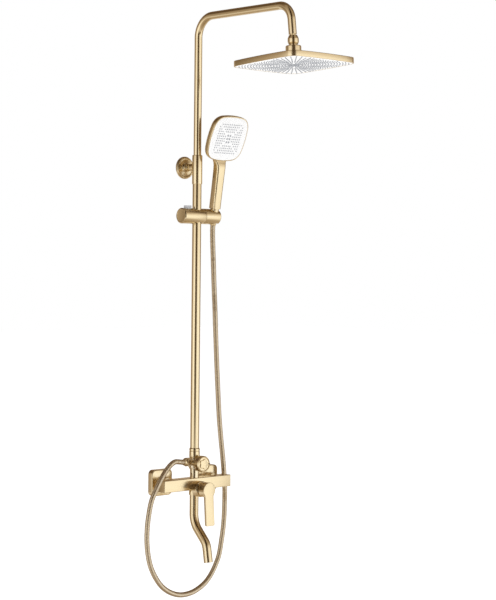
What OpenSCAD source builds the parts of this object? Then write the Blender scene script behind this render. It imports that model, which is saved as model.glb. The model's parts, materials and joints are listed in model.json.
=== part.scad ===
// Wall-mounted rainfall shower column: single-lever mixer bar, swivel spout, diverter,
// telescopic riser with overhead rain head, and a hand shower on a sliding holder.
// Millimetres, +Z up. The wall is the plane y = 0 and the room is towards -Y.
// The origin lies on the wall, midway between the two water inlets.

/* [Mixer] */
// Distance between the two wall inlets
inlet_pitch = 150; // [146:1:160]
// Drop of the mixer bar below the inlets, made by the eccentric unions
mixer_drop = 4; // [0:0.5:4.5]
// Width of the mixer bar
bar_w = 216; // [200:1:260]
// Height of the mixer bar
bar_h = 29; // [27:1:35]
// Depth of the mixer bar
bar_d = 30; // [28:1:34]
// Side of the square wall plates
plate_side = 64; // [54:1:76]
// Depth of the wall plates
plate_depth = 16; // [12:1:16]
// Corner radius of the wall plates
plate_corner = 11; // [6:1:16]
// Width across the flats of the union nuts
union_nut_af = 32; // [31:1:36]
// Diameter of the cartridge housing
housing_d = 39; // [37:1:44]
// Drop of the cartridge housing below the bar's centre line
housing_drop = 12; // [6:0.5:14]
// Reach of the cartridge housing in front of the bar
housing_reach = 15; // [15:1:22]

/* [Lever] */
// Diameter of the lever's round hub
hub_d = 38; // [34:1:39]
// Length of the hub, front face to rear face
hub_len = 23; // [18:1:26]
// Distance from the hub's centre to the tip of the paddle
paddle_len = 85; // [65:1:100]
// Width of the paddle
paddle_w = 27; // [20:1:31]
// Thickness of the paddle
paddle_t = 6.5; // [5:0.5:9]
// Forward lean of the paddle, in degrees
paddle_lean = 4; // [0:1:8]

/* [Spout] */
// Outer diameter of the spout tube
spout_d = 22; // [20:0.5:24]
// Wall of the spout tube
spout_wall = 1.5; // [1.2:0.1:2]
// Forward offset of the spout's mouth from its swivel axis
spout_reach = 55; // [45:1:80]
// Length of the spout's straight mouth
spout_mouth = 34; // [15:1:40]

/* [Riser] */
// Distance from the wall to the riser's axis
wall_gap = 49; // [49:1:60]
// Outer diameter of the lower riser tube
lower_d = 22; // [21.5:0.5:24]
// Wall of the lower riser tube
lower_wall = 1.2; // [1:0.05:1.2]
// Outer diameter of the upper tube and arm
upper_d = 19; // [16:0.5:19]
// Wall of the upper tube
upper_wall = 1.2; // [1:0.1:2]
// Height of the diverter's axis above the inlets
diverter_z = 46; // [45:1:70]
// Height of the wall bracket above the inlets
bracket_z = 773; // [640:1:950]
// Length of the collar that joins the tubes
collar_len = 71; // [50:1:90]
// Wall of the collar
collar_wall = 1.5; // [1.5:0.25:3]
// Diameter of the round wall flange
flange_d = 55; // [48:1:64]

/* [Rain arm and head] */
// Height of the horizontal arm above the inlets
arm_z = 1139; // [980:1:1300]
// Reach of the arm, from the riser's axis to the ball joint
arm_reach = 330; // [260:1:420]
// Forward lean of the arm's end, in degrees
arm_lean = 7; // [0:1:10]
// Tilt of the rain head, with its front edge higher, in degrees
head_tilt = 3; // [0:1:6]
// Width of the square rain head at the middle of its sides
head_side = 216; // [160:1:260]
// Thickness of the rain head's rim
head_t = 13.5; // [12:0.5:18]

/* [Hand shower] */
// Height of the slider's axis above the inlets
slider_z = 653; // [560:1:690]
// Diameter of the slider and the holder
slider_d = 38; // [36:1:42]
// Width of the hand shower's head at the middle of its sides
hand_side = 116; // [100:1:130]
// Thickness of the hand shower's head
hand_t = 21; // [18:1:26]
// Width of the handle
handle_w = 25; // [22:1:28]
// Depth of the handle
handle_d = 22; // [20:1:24]
// Lean of the hand shower in its holder, in degrees
hand_lean = 9; // [6:1:12]
// Extra lean of the hand shower's face, in degrees
face_lean = 14; // [8:1:20]
// Outer diameter of the hose
hose_d = 13; // [12:0.5:14]

/* [Hidden] */
$fn = 64;

gold = "#c2a878";
brass = "#b5963f";
steel = "silver";
rubber = "#33363a";
plastic = "#e9e9e6";
grey = "#8d9094";

snug = 0.05;                    // radial clearance of threads, sockets and running fits
gap = 0.3;                      // clearance between pieces that only pass each other
weld = 0.06;                    // how far a tube's slanted stretch is thinned where it enters a bend
lap = 0.8;                      // how deep it enters
riser_y = -wall_gap;
bar_z = -mixer_drop;
bar_top = bar_z + bar_h / 2;
bar_low = bar_z - bar_h / 2;
bar_front = riser_y - bar_d / 2;
bar_back = riser_y + bar_d / 2;

// wall unions, from the wall to the bar
inlet_thread_d = 20.95;
union_d = 22;
union_thread_d = 26;
union_thread_l = 10;
washer_t = 2;
union_flange_t = 2.5;
union_seat_y = bar_back + union_thread_l + washer_t + union_flange_t;
nut_l = union_thread_l + washer_t + union_flange_t + 2.5;
inlet_stud_l = 15;
plate_wall = 2;

// cartridge and lever, on an axis along Y
hub_z = bar_z - housing_drop;
housing_front = bar_front - housing_reach;
cavity_d = housing_d - 6;
ring_t = 5;
ring_front = housing_front + 1;
cartridge_front = ring_front + ring_t;
pivot_y = cartridge_front + 0.5;
turntable_d = 20;
pin_d = 3;
spindle_w = 8;
hub_back = housing_front - 4;
hub_front = hub_back - hub_len;

// spout
spout_bore = spout_d - 2 * spout_wall;
spigot_l = 13;
spout_collar_d = spout_d + 4;
spout_bend = 45;
spout_tail = 10;
spout_drop = 60;
spout_r1 = 55;
spout_r2 = 35;
spout_slant = (spout_reach - spout_r1 * (1 - cos(spout_bend)) - spout_mouth * sin(spout_tail)
    - spout_r2 * (cos(spout_tail) - cos(spout_bend))) / sin(spout_bend);
mouth_z = bar_low - spout_drop - spout_r1 * sin(spout_bend) - spout_slant * cos(spout_bend)
    - spout_r2 * (sin(spout_bend) - sin(spout_tail)) - spout_mouth * cos(spout_tail);

// diverter
diverter_d = 27;
barrel_d = 26;
diverter_low = diverter_z - barrel_d / 2 - 1;
diverter_top = diverter_z + barrel_d / 2;
barrel_front = riser_y - 17;
core_d = 18;
knob_d = 40;
knob_back = barrel_front - 2;
knob_front = knob_back - 18;
outlet_d = 15;
outlet_z = diverter_z + 4;
outlet_end = -26;
hose_nut_start = -16.5;
hose_nut_end = -36;
riser_thread_l = 8;
riser_nut_l = 24.5;
tube_start = diverter_top + riser_thread_l + 1;

// bracket and tubes
collar_d = lower_d + 2 * collar_wall;
collar_low = bracket_z - collar_len * 0.585;
collar_top = collar_low + collar_len;
lower_top = collar_top - 15;
neck_d = 18;
flange_t = 7;
arm_seam_y = -19;
base_d = 44;
base_t = 4;
screw_gap = 30;
screw_hole_d = 4.5;
stub_d = 12;
lower_bore = lower_d - 2 * lower_wall;
upper_low = collar_low - 215;
bush_l = 14;

// arm and ball joint
bend_r1 = 50;
bend_r2 = 48;
ball_r = 8.5;
ball_y = riser_y - arm_reach;
end_l = 41.7;
end_z = arm_z - bend_r2 * (1 - sin(arm_lean));
bend2_y = ball_y + end_l * sin(arm_lean) + bend_r2 * cos(arm_lean);
ball_z = end_z - end_l * cos(arm_lean);
tube_stop = 13;
cup_r = 10.4;

// rain head, below the ball's centre
head_top = -45;
head_low = head_top - head_t;
neck_low = -13.5;
collar_boss_d = 36.6;
boss_low = -36;
rim_w = 3.5;
plate_t = 2.5;

// slider and holder, on an axis along X
slider_left = -52;
slider_seam = 17;
seam_gap = 0.25;
holder_right = 67;
hand_x = 53;
hand_fwd = 3.5;
liner_d = lower_d + 3;
liner_l = 28;
spigot_d = 28;
spigot_x = slider_seam + 9;
button_x = -30;
button_l = 20;
button_w = 12;
button_r = 5;
button_top = slider_d / 2 + 6.5;
button_low = 8;
spring_low = 2;
cone_top = slider_d / 2;
cone_low = -slider_d / 2 - 2;
cone_d1 = 15;
cone_d2 = 22;
slot_w = hose_d + 1.5;

// hand shower head: its face centre in the handle's own frame
face_s = 195;
face_f = 20;
hand_rim = 10;
handle_top = 150;

// the hose, from the diverter round its loop and up to the hand shower
hose_loop_route = [[-36, -49, 50], [-50, -49, 52], [-63, -49, 53], [-77, -50, 47], [-92, -51, 35],
    [-111, -57, 19], [-126, -60, 1], [-147, -62, -33], [-156, -62, -68], [-160, -62, -97],
    [-161, -62, -128], [-157, -62, -162], [-147, -61, -194], [-129, -60, -224],
    [-107, -58, -247], [-79, -56, -264], [-45, -53, -274], [-10, -50, -274],
    [19, -47, -267], [46, -44, -254], [67, -42, -235], [84, -40, -212], [95, -38, -192],
    [106, -35, -155], [113, -33, -125], [117.5, -31, -95], [119.5, -30, -60]];
hose_rise_route = [[119.5, -30, -60], [119.5, -30, -30], [117.5, -30, 0], [111.5, -31, 45],
    [102.5, -33, 95], [93, -36, 150], [85.5, -39, 210], [79, -41, 275], [72.5, -43, 350],
    [67, -45, 420]];
hose_bend_route = [[67, -45, 420], [64.5, -45.5, 450], [62, -46, 482], [60, -46.3, 514],
    [58, -46.7, 545]];
hand_foot = [hand_x, riser_y - hand_fwd - cone_low * sin(hand_lean),
    slider_z + cone_low * cos(hand_lean)];
hose_top_route = [[58, -46.7, 545], [56, -47, 575], [54, -47.8, 602], [53, -48.6, 620], hand_foot];

// ---- shapes that several pieces share ----

// Cylinder along Y between two places, in any order
module rod_y(d, y0, y1) {
    translate([0, min(y0, y1), 0]) rotate([-90, 0, 0]) cylinder(d = d, h = abs(y1 - y0));
}

// Cone along Y, with diameter d0 at y0 and d1 at y1, y1 further into the room
module cone_y(d0, d1, y0, y1) {
    translate([0, y0, 0]) rotate([90, 0, 0]) cylinder(d1 = d0, d2 = d1, h = y0 - y1);
}

// Cylinder along X between two places
module rod_x(d, x0, x1) {
    translate([x0, 0, 0]) rotate([0, 90, 0]) cylinder(d = d, h = x1 - x0);
}

// Cylinder along Z between two heights
module rod_z(d, z0, z1) {
    translate([0, 0, z0]) cylinder(d = d, h = z1 - z0);
}

module ring_z(od, id, z0, z1) {
    difference() {
        rod_z(od, z0, z1);
        rod_z(id, z0 - 1, z1 + 1);
    }
}

module torus(ring_r, wire_r) {
    rotate_extrude() translate([ring_r, 0]) circle(r = wire_r, $fn = 24);
}

module rounded_rect(w, h, r) {
    square([w - 2 * r, h], center = true);
    square([w, h - 2 * r], center = true);
    for (x = [-1, 1], y = [-1, 1])
        translate([x * (w / 2 - r), y * (h / 2 - r)]) circle(r = r);
}

// Upright slab of a flat outline, from the wall side y0 to the room side y1
module slab_y(y0, y1) {
    translate([0, y0, 0]) rotate([90, 0, 0]) linear_extrude(y0 - y1) children();
}

// Square outline with bowed sides and round corners: width w across the middles
function bowed_corner(a, bow_r, r) =
    (sqrt(2 * pow(bow_r - r, 2) - pow(bow_r - a, 2)) - (bow_r - a)) / 2;
function bowed_square(w, bow_r, r) = let (
    a = w / 2,
    c = bowed_corner(a, bow_r, r),
    spread = atan2(c, c - a + bow_r))
    [for (k = [0 : 3], i = [0 : 13]) let (
        side = i < 8,
        t = side ? 90 + spread * (1 - i * 2 / 7) : 90 - spread - (i - 7) * (90 - 2 * spread) / 7,
        p = side ? [bow_r * cos(t), a - bow_r + bow_r * sin(t)] : [c + r * cos(t), c + r * sin(t)])
        [p.x * cos(90 * k) + p.y * sin(90 * k), -p.x * sin(90 * k) + p.y * cos(90 * k)]];

// Tube bend about the origin in the XY plane, from +X round by an angle
module tube_bend(od, id, r, angle) {
    rotate_extrude(angle = angle) translate([r, 0]) difference() {
        circle(d = od);
        circle(d = id);
    }
}

module tube_z(od, id, h) {
    difference() {
        cylinder(d = od, h = h);
        translate([0, 0, -1]) cylinder(d = id, h = h + 2);
    }
}

// Round hose swept along a route of points, as one polyhedron with flat ends
function unit(v) = v / norm(v);
function heading(p, i) = i == 0 ? unit(p[1] - p[0])
    : i == len(p) - 1 ? unit(p[i] - p[i - 1]) : unit(p[i + 1] - p[i - 1]);
module swept_hose(route, sides = 10, start_dir = undef, end_dir = undef) {
    last = len(route) - 1;
    dirs = [for (i = [0 : last])
        i == 0 && !is_undef(start_dir) ? start_dir
        : i == last && !is_undef(end_dir) ? end_dir : heading(route, i)];
    points = [for (i = [0 : last]) let (
        u = unit(cross([0.1, 1, 0.05], dirs[i])), v = cross(dirs[i], u))
        for (k = [0 : sides - 1])
            route[i] + hose_d / 2 * (cos(360 * k / sides) * u + sin(360 * k / sides) * v)];
    walls = [for (i = [0 : last - 1], k = [0 : sides - 1]) let (n = (k + 1) % sides)
        [i * sides + k, i * sides + n, (i + 1) * sides + n, (i + 1) * sides + k]];
    foot = [[for (k = [sides - 1 : -1 : 0]) k]];
    tip = [[for (k = [0 : sides - 1]) last * sides + k]];
    polyhedron(points = points, faces = concat(foot, walls, tip));
}

// ---- mixer ----

module wall_plate(x) {
    color(gold) translate([x, 0, 0]) difference() {
        slab_y(0, -plate_depth) rounded_rect(plate_side, plate_side, plate_corner);
        slab_y(1, plate_wall - plate_depth)
            rounded_rect(plate_side - 2 * plate_wall, plate_side - 2 * plate_wall,
                plate_corner - plate_wall);
        translate([0, 0, -mixer_drop / 2]) rod_y(union_d + mixer_drop + 1, 1, -plate_depth - 1);
    }
}

module wall_plate_left() wall_plate(-inlet_pitch / 2);
module wall_plate_right() wall_plate(inlet_pitch / 2);

module wall_union(x) {
    color(brass) translate([x, 0, 0]) difference() {
        union() {
            rod_y(inlet_thread_d, 0, inlet_stud_l);
            rod_y(union_d, 0, -12);
            translate([0, 0, bar_z]) rod_y(union_d, -8, union_seat_y);
            translate([0, 0, bar_z])
                rod_y(union_thread_d - 2 * snug, union_seat_y, union_seat_y - union_flange_t);
        }
        rod_y(14, -10, inlet_stud_l + 1);
        translate([0, 0, bar_z]) rod_y(14, -6, union_seat_y - 10);
    }
}

module union_left() wall_union(-inlet_pitch / 2);
module union_right() wall_union(inlet_pitch / 2);

module union_nuts() {
    color(gold) for (x = [-1, 1]) translate([x * inlet_pitch / 2, 0, bar_z]) difference() {
        slab_y(bar_back + nut_l, bar_back) rotate(30) circle(d = union_nut_af / cos(30), $fn = 6);
        rod_y(union_thread_d + 2 * snug, union_seat_y, bar_back - 1);
        rod_y(union_d + 2 * snug, bar_back + nut_l + 1, union_seat_y - 1);
    }
}

module inlet_washers() {
    color(rubber) for (x = [-1, 1]) translate([x * inlet_pitch / 2, 0, bar_z]) difference() {
        rod_y(union_thread_d - 1, bar_back + union_thread_l, bar_back + union_thread_l + washer_t);
        rod_y(16, bar_back, bar_back + 20);
    }
}

module mixer_body() {
    color(gold) difference() {
        union() {
            translate([-bar_w / 2, riser_y, bar_z]) rotate([90, 0, 90])
                linear_extrude(bar_w) rounded_rect(bar_d, bar_h, 2);
            translate([0, 0, hub_z]) {
                rod_y(housing_d, bar_front + 1, housing_front + 2.5);
                cone_y(housing_d, housing_d - 5, housing_front + 2.5, housing_front);
            }
            for (x = [-1, 1]) translate([x * inlet_pitch / 2, 0, bar_z])
                rod_y(union_thread_d, bar_back - 1, bar_back + union_thread_l);
            translate([0, riser_y, 0]) rod_z(spout_bore - 2 * snug, bar_low - spigot_l, bar_low + 1);
        }
        translate([0, 0, hub_z]) rod_y(cavity_d, bar_front, housing_front - 1);
        for (x = [-1, 1]) translate([x * inlet_pitch / 2, 0, bar_z])
            rod_y(16, riser_y, bar_back + union_thread_l + 1);
        translate([0, riser_y, bar_z]) rod_x(13, 14, inlet_pitch / 2 + 4);
        translate([0, riser_y, bar_z]) rod_x(13, -inlet_pitch / 2 - 4, -14);
        translate([0, riser_y, 0]) {
            rod_z(16 + 2 * snug, bar_top - 6, bar_top + 1);
            rod_z(12, bar_low - spigot_l - 1, bar_low + 6);
            translate([0, 0, bar_low - 7]) difference() {
                rod_z(spout_d, -0.8, 0.8);
                rod_z(spout_bore - 2.8, -1, 1);
            }
        }
    }
}

module cartridge() {
    color(plastic) translate([0, 0, hub_z]) difference() {
        rod_y(cavity_d - 2 * snug, bar_front, cartridge_front);
        rod_y(turntable_d + 2 * snug, cartridge_front + 5, cartridge_front - 1);
    }
}

module cartridge_ring() {
    color(brass) translate([0, 0, hub_z]) difference() {
        rod_y(cavity_d - 2 * snug, cartridge_front, ring_front);
        rod_y(turntable_d + 2 * snug, cartridge_front + 1, ring_front - 1);
    }
}

module cartridge_turntable() {
    color(grey) translate([0, 0, hub_z]) difference() {
        rod_y(turntable_d, cartridge_front + 4.8, ring_front + 0.2);
        translate([-spindle_w / 2 - gap, ring_front - 1, -spindle_w / 2 - 2.5])
            cube([spindle_w + 2 * gap, 10.2, spindle_w + 5]);
        translate([0, pivot_y, 0]) rod_x(pin_d, -9, 9);
    }
}

module lever_pin() {
    color(steel) translate([0, pivot_y, hub_z]) rod_x(pin_d, -8.5, 8.5);
}

module lever_spindle() {
    color(brass) translate([0, 0, hub_z]) difference() {
        translate([-spindle_w / 2, hub_back - 12, -spindle_w / 2])
            cube([spindle_w, pivot_y + 2.6 - hub_back + 12, spindle_w]);
        translate([0, pivot_y, 0]) rod_x(pin_d + 2 * snug, -9, 9);
    }
}

module lever_handle() {
    color(gold) translate([0, 0, hub_z]) difference() {
        union() {
            rod_y(hub_d, hub_front, hub_back - 3);
            cone_y(hub_d - 12, hub_d, hub_back, hub_back - 3);
            translate([0, hub_front + paddle_t, 0]) rotate([-paddle_lean, 0, 0])
                slab_y(0, -paddle_t) {
                    translate([0, -paddle_len / 2]) square([paddle_w, paddle_len - 6], center = true);
                    translate([0, 3 - paddle_len]) rounded_rect(paddle_w, 10, 3);
                }
            translate([0, hub_front + paddle_t, -hub_d / 2 + 2])
                rotate([0, 90, 0]) translate([0, 0, -paddle_w / 2])
                    linear_extrude(paddle_w) polygon([[0, 0], [0, 7], [12, 0]]);
        }
        translate([-spindle_w / 2 - snug, hub_back - 12 - snug, -spindle_w / 2 - snug])
            cube([spindle_w + 2 * snug, 14, spindle_w + 2 * snug]);
        translate([0, hub_back - 9, 0]) rod_z(4 + 2 * snug, -hub_d / 2 - 3, 0);
    }
}

module lever_grub_screw() {
    color(steel) translate([0, hub_back - 9, hub_z])
        rod_z(4, 1 - hub_d / 2 + 3, -spindle_w / 2);
}

// ---- spout ----

module spout_o_ring() {
    color(rubber) translate([0, riser_y, bar_low - 7]) torus(spout_bore / 2 - 0.7, 0.6);
}

module at_mouth() {
    translate([0, riser_y - spout_reach, mouth_z]) rotate([-spout_tail, 0, 0]) children();
}

module spout() {
    color(gold) {
        translate([0, riser_y, bar_low - spout_drop]) {
            tube_z(spout_d, spout_bore, spout_drop - 1.5);
            translate([0, -spout_r1, 0]) rotate([90, 0, 90])
                tube_bend(spout_d, spout_bore, spout_r1, -spout_bend);
            translate([0, -spout_r1 * (1 - cos(spout_bend)), -spout_r1 * sin(spout_bend)])
                rotate([-spout_bend, 0, 0]) {
                    translate([0, 0, -spout_slant - lap])
                        tube_z(spout_d - 2 * weld, spout_bore + 2 * weld, spout_slant + 2 * lap);
                    translate([0, spout_r2, -spout_slant]) rotate([90, 0, 90]) rotate([0, 0, 180])
                        tube_bend(spout_d, spout_bore, spout_r2, spout_bend - spout_tail);
                }
        }
        at_mouth() tube_z(spout_d - 2 * weld, spout_bore + 2 * weld, spout_mouth + lap);
    }
}

module spout_collar() {
    color(gold) translate([0, riser_y, 0])
        ring_z(spout_collar_d, spout_d + 2 * snug, bar_low - 14, bar_low - 1.5);
}

module aerator() {
    color(plastic) at_mouth() {
        ring_z(spout_bore - 2 * snug, spout_bore - 4, 0.5, 9);
        difference() {
            rod_z(spout_bore - 3.9, 2, 4);
            for (a = [0 : 60 : 300]) rotate(a) translate([5, 0, 0]) rod_z(2, 1, 5);
        }
    }
}

// ---- diverter ----

module riser_nipple() {
    color(gold) translate([0, riser_y, 0]) difference() {
        union() {
            rod_z(lower_d, bar_top, diverter_low);
            rod_z(16, bar_top - 5, diverter_low + 5);
        }
        rod_z(12, bar_top - 6, diverter_low + 6);
    }
}

module diverter_body() {
    color(gold) difference() {
        union() {
            translate([0, riser_y, 0]) {
                rod_z(diverter_d, diverter_low, diverter_top);
                rod_z(20, diverter_top - 1, diverter_top + riser_thread_l);
            }
            translate([0, 0, diverter_z]) rod_y(barrel_d, barrel_front, riser_y + 15);
            translate([0, riser_y, outlet_z]) rod_x(outlet_d, outlet_end, 0);
        }
        translate([0, riser_y, 0]) {
            rod_z(16 + 2 * snug, diverter_low - 1, diverter_low + 5.2);
            rod_z(12, diverter_low - 1, diverter_top + riser_thread_l + 1);
        }
        translate([0, 0, diverter_z]) rod_y(core_d + 2 * snug, barrel_front - 1, riser_y + 12);
        translate([0, riser_y, outlet_z]) rod_x(9, outlet_end - 1, 0);
    }
}

module diverter_core() {
    color(brass) translate([0, 0, diverter_z]) difference() {
        union() {
            rod_y(core_d, barrel_front + 0.5, riser_y + 11.5);
            rod_y(8, knob_front + 8, barrel_front + 1);
        }
        translate([0, riser_y, 0]) rod_z(10, -12, 12);
        rod_y(3 + 2 * snug, knob_front, knob_front + 16);
    }
}

module diverter_knob() {
    color(gold) translate([0, 0, diverter_z]) difference() {
        union() {
            rod_y(knob_d, knob_front + 1, knob_back);
            cone_y(knob_d, knob_d - 2, knob_front + 1, knob_front);
        }
        difference() {
            rod_y(knob_d - 7, knob_front - 1, knob_front + 2.5);
            slab_y(knob_front + 3, knob_front - 2) circle(d = knob_d - 12, $fn = 5);
        }
        rod_y(8 + 2 * snug, knob_front + 8 - snug, knob_back + 1);
        rod_y(6 + 2 * snug, knob_front - 1, knob_front + 4);
        rod_y(3 + 2 * snug, knob_front, knob_front + 12);
    }
}

module knob_screw() {
    color(steel) translate([0, 0, diverter_z]) {
        rod_y(6, knob_front + 1, knob_front + 4);
        rod_y(3, knob_front + 3, knob_front + 15);
    }
}

// ---- riser and bracket ----

module riser_nut() {
    color(gold) translate([0, riser_y, 0]) difference() {
        rotate_extrude() polygon([
            [0, diverter_top], [lower_d / 2 + 1, diverter_top],
            [lower_d / 2 + 2, diverter_top + 3], [lower_d / 2 + 2, diverter_top + riser_nut_l - 6],
            [lower_d / 2 + 1, diverter_top + riser_nut_l],
            [0, diverter_top + riser_nut_l]]);
        rod_z(20 + 2 * snug, diverter_top - 1, tube_start);
        rod_z(lower_d + 2 * snug, tube_start - 0.5, diverter_top + riser_nut_l + 1);
    }
}

module riser_seal() {
    color(rubber) translate([0, riser_y, 0])
        ring_z(19.6, 13, tube_start - 1, tube_start);
}

module lower_tube() {
    color(gold) translate([0, riser_y, 0]) ring_z(lower_d, lower_bore, tube_start, lower_top);
}

module riser_collar() {
    color(gold) translate([0, riser_y, 0]) difference() {
        rod_z(collar_d, collar_low, collar_top);
        rod_z(lower_d + 2 * snug, collar_low - 1, lower_top);
        rod_z(upper_d + 2 * snug, lower_top - 1, collar_top + 1);
        translate([0, 0, collar_top - 7]) rod_y(5 + 2 * snug, 0, collar_d);
    }
}

module collar_set_screw() {
    color(steel) translate([0, riser_y, collar_top - 7])
        rod_y(5, upper_d / 2 + gap, collar_d / 2 - 0.3);
}

module bracket_base() {
    color(steel) translate([0, 0, bracket_z]) difference() {
        union() {
            rod_y(base_d, 0, -base_t);
            rod_y(stub_d, 0, arm_seam_y - 9);
        }
        for (x = [-1, 1]) translate([x * screw_gap / 2, 0, 0]) rod_y(screw_hole_d, 1, -base_t - 1);
    }
}

module wall_flange() {
    color(gold) translate([0, 0, bracket_z]) difference() {
        union() {
            rod_y(flange_d, 0, -5);
            cone_y(flange_d, flange_d - 5, -5, -flange_t);
            rod_y(neck_d, 0, arm_seam_y + seam_gap);
        }
        rod_y(base_d + 1, 1, 1.8 - flange_t);
        rod_y(stub_d + 2 * snug, 1, arm_seam_y - 1);
    }
}

module bracket_arm() {
    color(gold) difference() {
        translate([0, 0, bracket_z]) rod_y(neck_d, arm_seam_y - seam_gap, riser_y);
        translate([0, riser_y, 0]) rod_z(collar_d + 2 * snug, collar_low - 1, collar_top + 1);
        translate([0, 0, bracket_z]) rod_y(stub_d + 2 * snug, 0, arm_seam_y - 9.2);
    }
}

// ---- rain arm ----

module upper_tube() {
    bore = upper_d - 2 * upper_wall;
    color(gold) {
        translate([0, riser_y, upper_low]) tube_z(upper_d, bore, arm_z - bend_r1 - upper_low);
        translate([0, riser_y - bend_r1, arm_z - bend_r1]) rotate([90, 0, 90])
            tube_bend(upper_d, bore, bend_r1, 90);
        translate([0, bend2_y, arm_z]) rotate([-90, 0, 0])
            tube_z(upper_d, bore, riser_y - bend_r1 - bend2_y);
        translate([0, bend2_y, arm_z - bend_r2]) rotate([90, 0, 90]) rotate([0, 0, 90])
            tube_bend(upper_d, bore, bend_r2, 90 - arm_lean);
        translate([0, ball_y, ball_z]) rotate([-arm_lean, 0, 0]) translate([0, 0, tube_stop])
            tube_z(upper_d - 2 * weld, bore + 2 * weld, end_l - tube_stop + lap);
    }
}

module guide_bush() {
    color(plastic) translate([0, riser_y, 0]) difference() {
        union() {
            rod_z(lower_bore - 2 * snug, upper_low - bush_l, upper_low);
            rod_z(upper_d - 2 * upper_wall - 2 * snug, upper_low - 1, upper_low + 8);
        }
        rod_z(12, upper_low - bush_l - 1, upper_low + 9);
        for (z = [4, 9]) ring_z(lower_bore + 1, lower_bore - 2.6,
            upper_low - z - 0.8, upper_low - z + 0.8);
    }
}

module guide_o_rings() {
    color(rubber) translate([0, riser_y, 0]) for (z = [4, 9])
        translate([0, 0, upper_low - z]) torus(lower_bore / 2 - 0.7, 0.6);
}

module ball_nipple() {
    color(steel) translate([0, ball_y, ball_z]) rotate([-arm_lean, 0, 0]) difference() {
        union() {
            sphere(r = ball_r);
            rod_z(9, 0, tube_stop);
            rod_z(upper_d - 2 * upper_wall - 2 * snug, tube_stop, tube_stop + 14);
        }
        rod_z(5, -ball_r - 1, tube_stop + 15);
    }
}

// Everything on the rain head hangs from the ball's centre
module at_head() {
    translate([0, ball_y, ball_z]) rotate([-head_tilt, 0, 0]) children();
}

module ball_shell(z0, z1) {
    at_head() intersection() {
        difference() {
            sphere(r = cup_r);
            sphere(r = ball_r + snug);
            rod_z(11, -cup_r - 1, 0);
        }
        rod_z(4 * cup_r, z0, z1);
    }
}

module ball_cup() {
    color(plastic) ball_shell(-cup_r, -1);
}

module ball_washer() {
    color(plastic) ball_shell(1.3, 5.3);
}

module ball_nut() {
    color(gold) at_head() difference() {
        rotate_extrude() polygon([[0, -9.5], [12.2, -9.5], [13, -7], [13, 4.5], [11.8, 8.5],
            [9.5, 10.8], [0, 10.8]]);
        sphere(r = cup_r + snug);
        rod_z(2 * cup_r + 2 * snug, -10, 0);
        rod_z(14.8, 0, 12);
    }
}

module head_collar() {
    color(gold) at_head() difference() {
        union() {
            rod_z(2 * cup_r, neck_low - 1, -5);
            rod_z(collar_boss_d, boss_low, neck_low);
            rod_z(24, head_top - 8, boss_low + 1);
        }
        sphere(r = cup_r + snug);
        rod_z(10, head_top - 9, 0);
    }
}

module head_lock_nut() {
    color(brass) at_head() difference() {
        translate([0, 0, head_top - 7]) linear_extrude(4.8) circle(d = 36, $fn = 6);
        rod_z(24 + 2 * snug, head_top - 9, head_top);
    }
}

module head_outline(inset) {
    polygon(bowed_square(head_side - 2 * inset, 900, 21 - inset));
}

module head_shell() {
    color(gold) at_head() difference() {
        union() {
            translate([0, 0, head_low]) linear_extrude(head_t) head_outline(0);
            translate([0, 0, head_top]) cylinder(d1 = 120, d2 = collar_boss_d + 8, h = boss_low - head_top);
        }
        translate([0, 0, head_low - 1]) linear_extrude(head_t - 1.2) head_outline(rim_w);
        rod_z(24 + 2 * snug, head_low, 0);
    }
}

module nozzle_mat() {
    color(grey) at_head() translate([0, 0, head_low + 0.8 + plate_t])
        linear_extrude(2) head_outline(rim_w + 2);
}

module spray_plate() {
    color("white") at_head() translate([0, 0, head_low + 0.8])
        linear_extrude(plate_t) head_outline(rim_w + snug);
}

// ---- slider and holder ----

module at_slider() {
    translate([0, riser_y, slider_z]) children();
}

module slider_body() {
    color(gold) at_slider() difference() {
        union() {
            rod_x(slider_d, slider_left + 2, slider_seam - seam_gap);
            translate([slider_left, 0, 0]) rotate([0, 90, 0])
                cylinder(d1 = slider_d - 4, d2 = slider_d, h = 2);
            rod_x(spigot_d, slider_seam - 1, spigot_x);
        }
        rod_z(liner_d + 2 * snug, -liner_l / 2 - snug, liner_l / 2 + snug);
        rod_z(lower_d + 2, -slider_d, slider_d);
        rod_x(5, 14, spigot_x + 1);
        translate([button_x, 0, button_low - 4]) linear_extrude(40)
            rounded_rect(button_l + 2 * snug, button_w + 2 * snug, button_r + snug);
        translate([button_x, 0, 0]) rod_z(9, spring_low, 10);
    }
}

module slider_liner() {
    color(grey) at_slider() ring_z(liner_d, lower_d + 2 * snug, -liner_l / 2, liner_l / 2);
}

module release_button() {
    color(grey) at_slider() translate([button_x, 0, button_low]) linear_extrude(button_top - button_low)
        rounded_rect(button_l, button_w, button_r);
}

module button_spring() {
    color(steel) at_slider() translate([button_x, 0, 0]) ring_z(7.6, 5, spring_low, button_low);
}

// The holder's hole follows the hand shower's lean
module at_hand() {
    translate([hand_x, riser_y - hand_fwd, slider_z]) rotate([hand_lean, 0, 0]) children();
}

function cone_at(s) = cone_d1 + (cone_d2 - cone_d1) * (s - cone_low) / (cone_top - cone_low);

module holder() {
    color(gold) difference() {
        at_slider() union() {
            rod_x(slider_d, slider_seam, holder_right - 3);
            translate([holder_right - 3, 0, 0]) rotate([0, 90, 0])
                cylinder(d1 = slider_d, d2 = slider_d - 6, h = 3);
        }
        at_slider() {
            rod_x(spigot_d + 2 * snug, slider_seam - 1, spigot_x + snug);
            rod_x(5 + 2 * snug, slider_seam, spigot_x + 4);
            rod_x(9.5, spigot_x + 3, holder_right - 10);
        }
        at_hand() {
            translate([0, 0, -30])
                cylinder(d1 = cone_at(-30) + 2 * gap, d2 = cone_at(30) + 2 * gap, h = 60);
            translate([0, -slot_w / 2, -40]) cube([30, slot_w, 80]);
        }
    }
}

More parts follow.
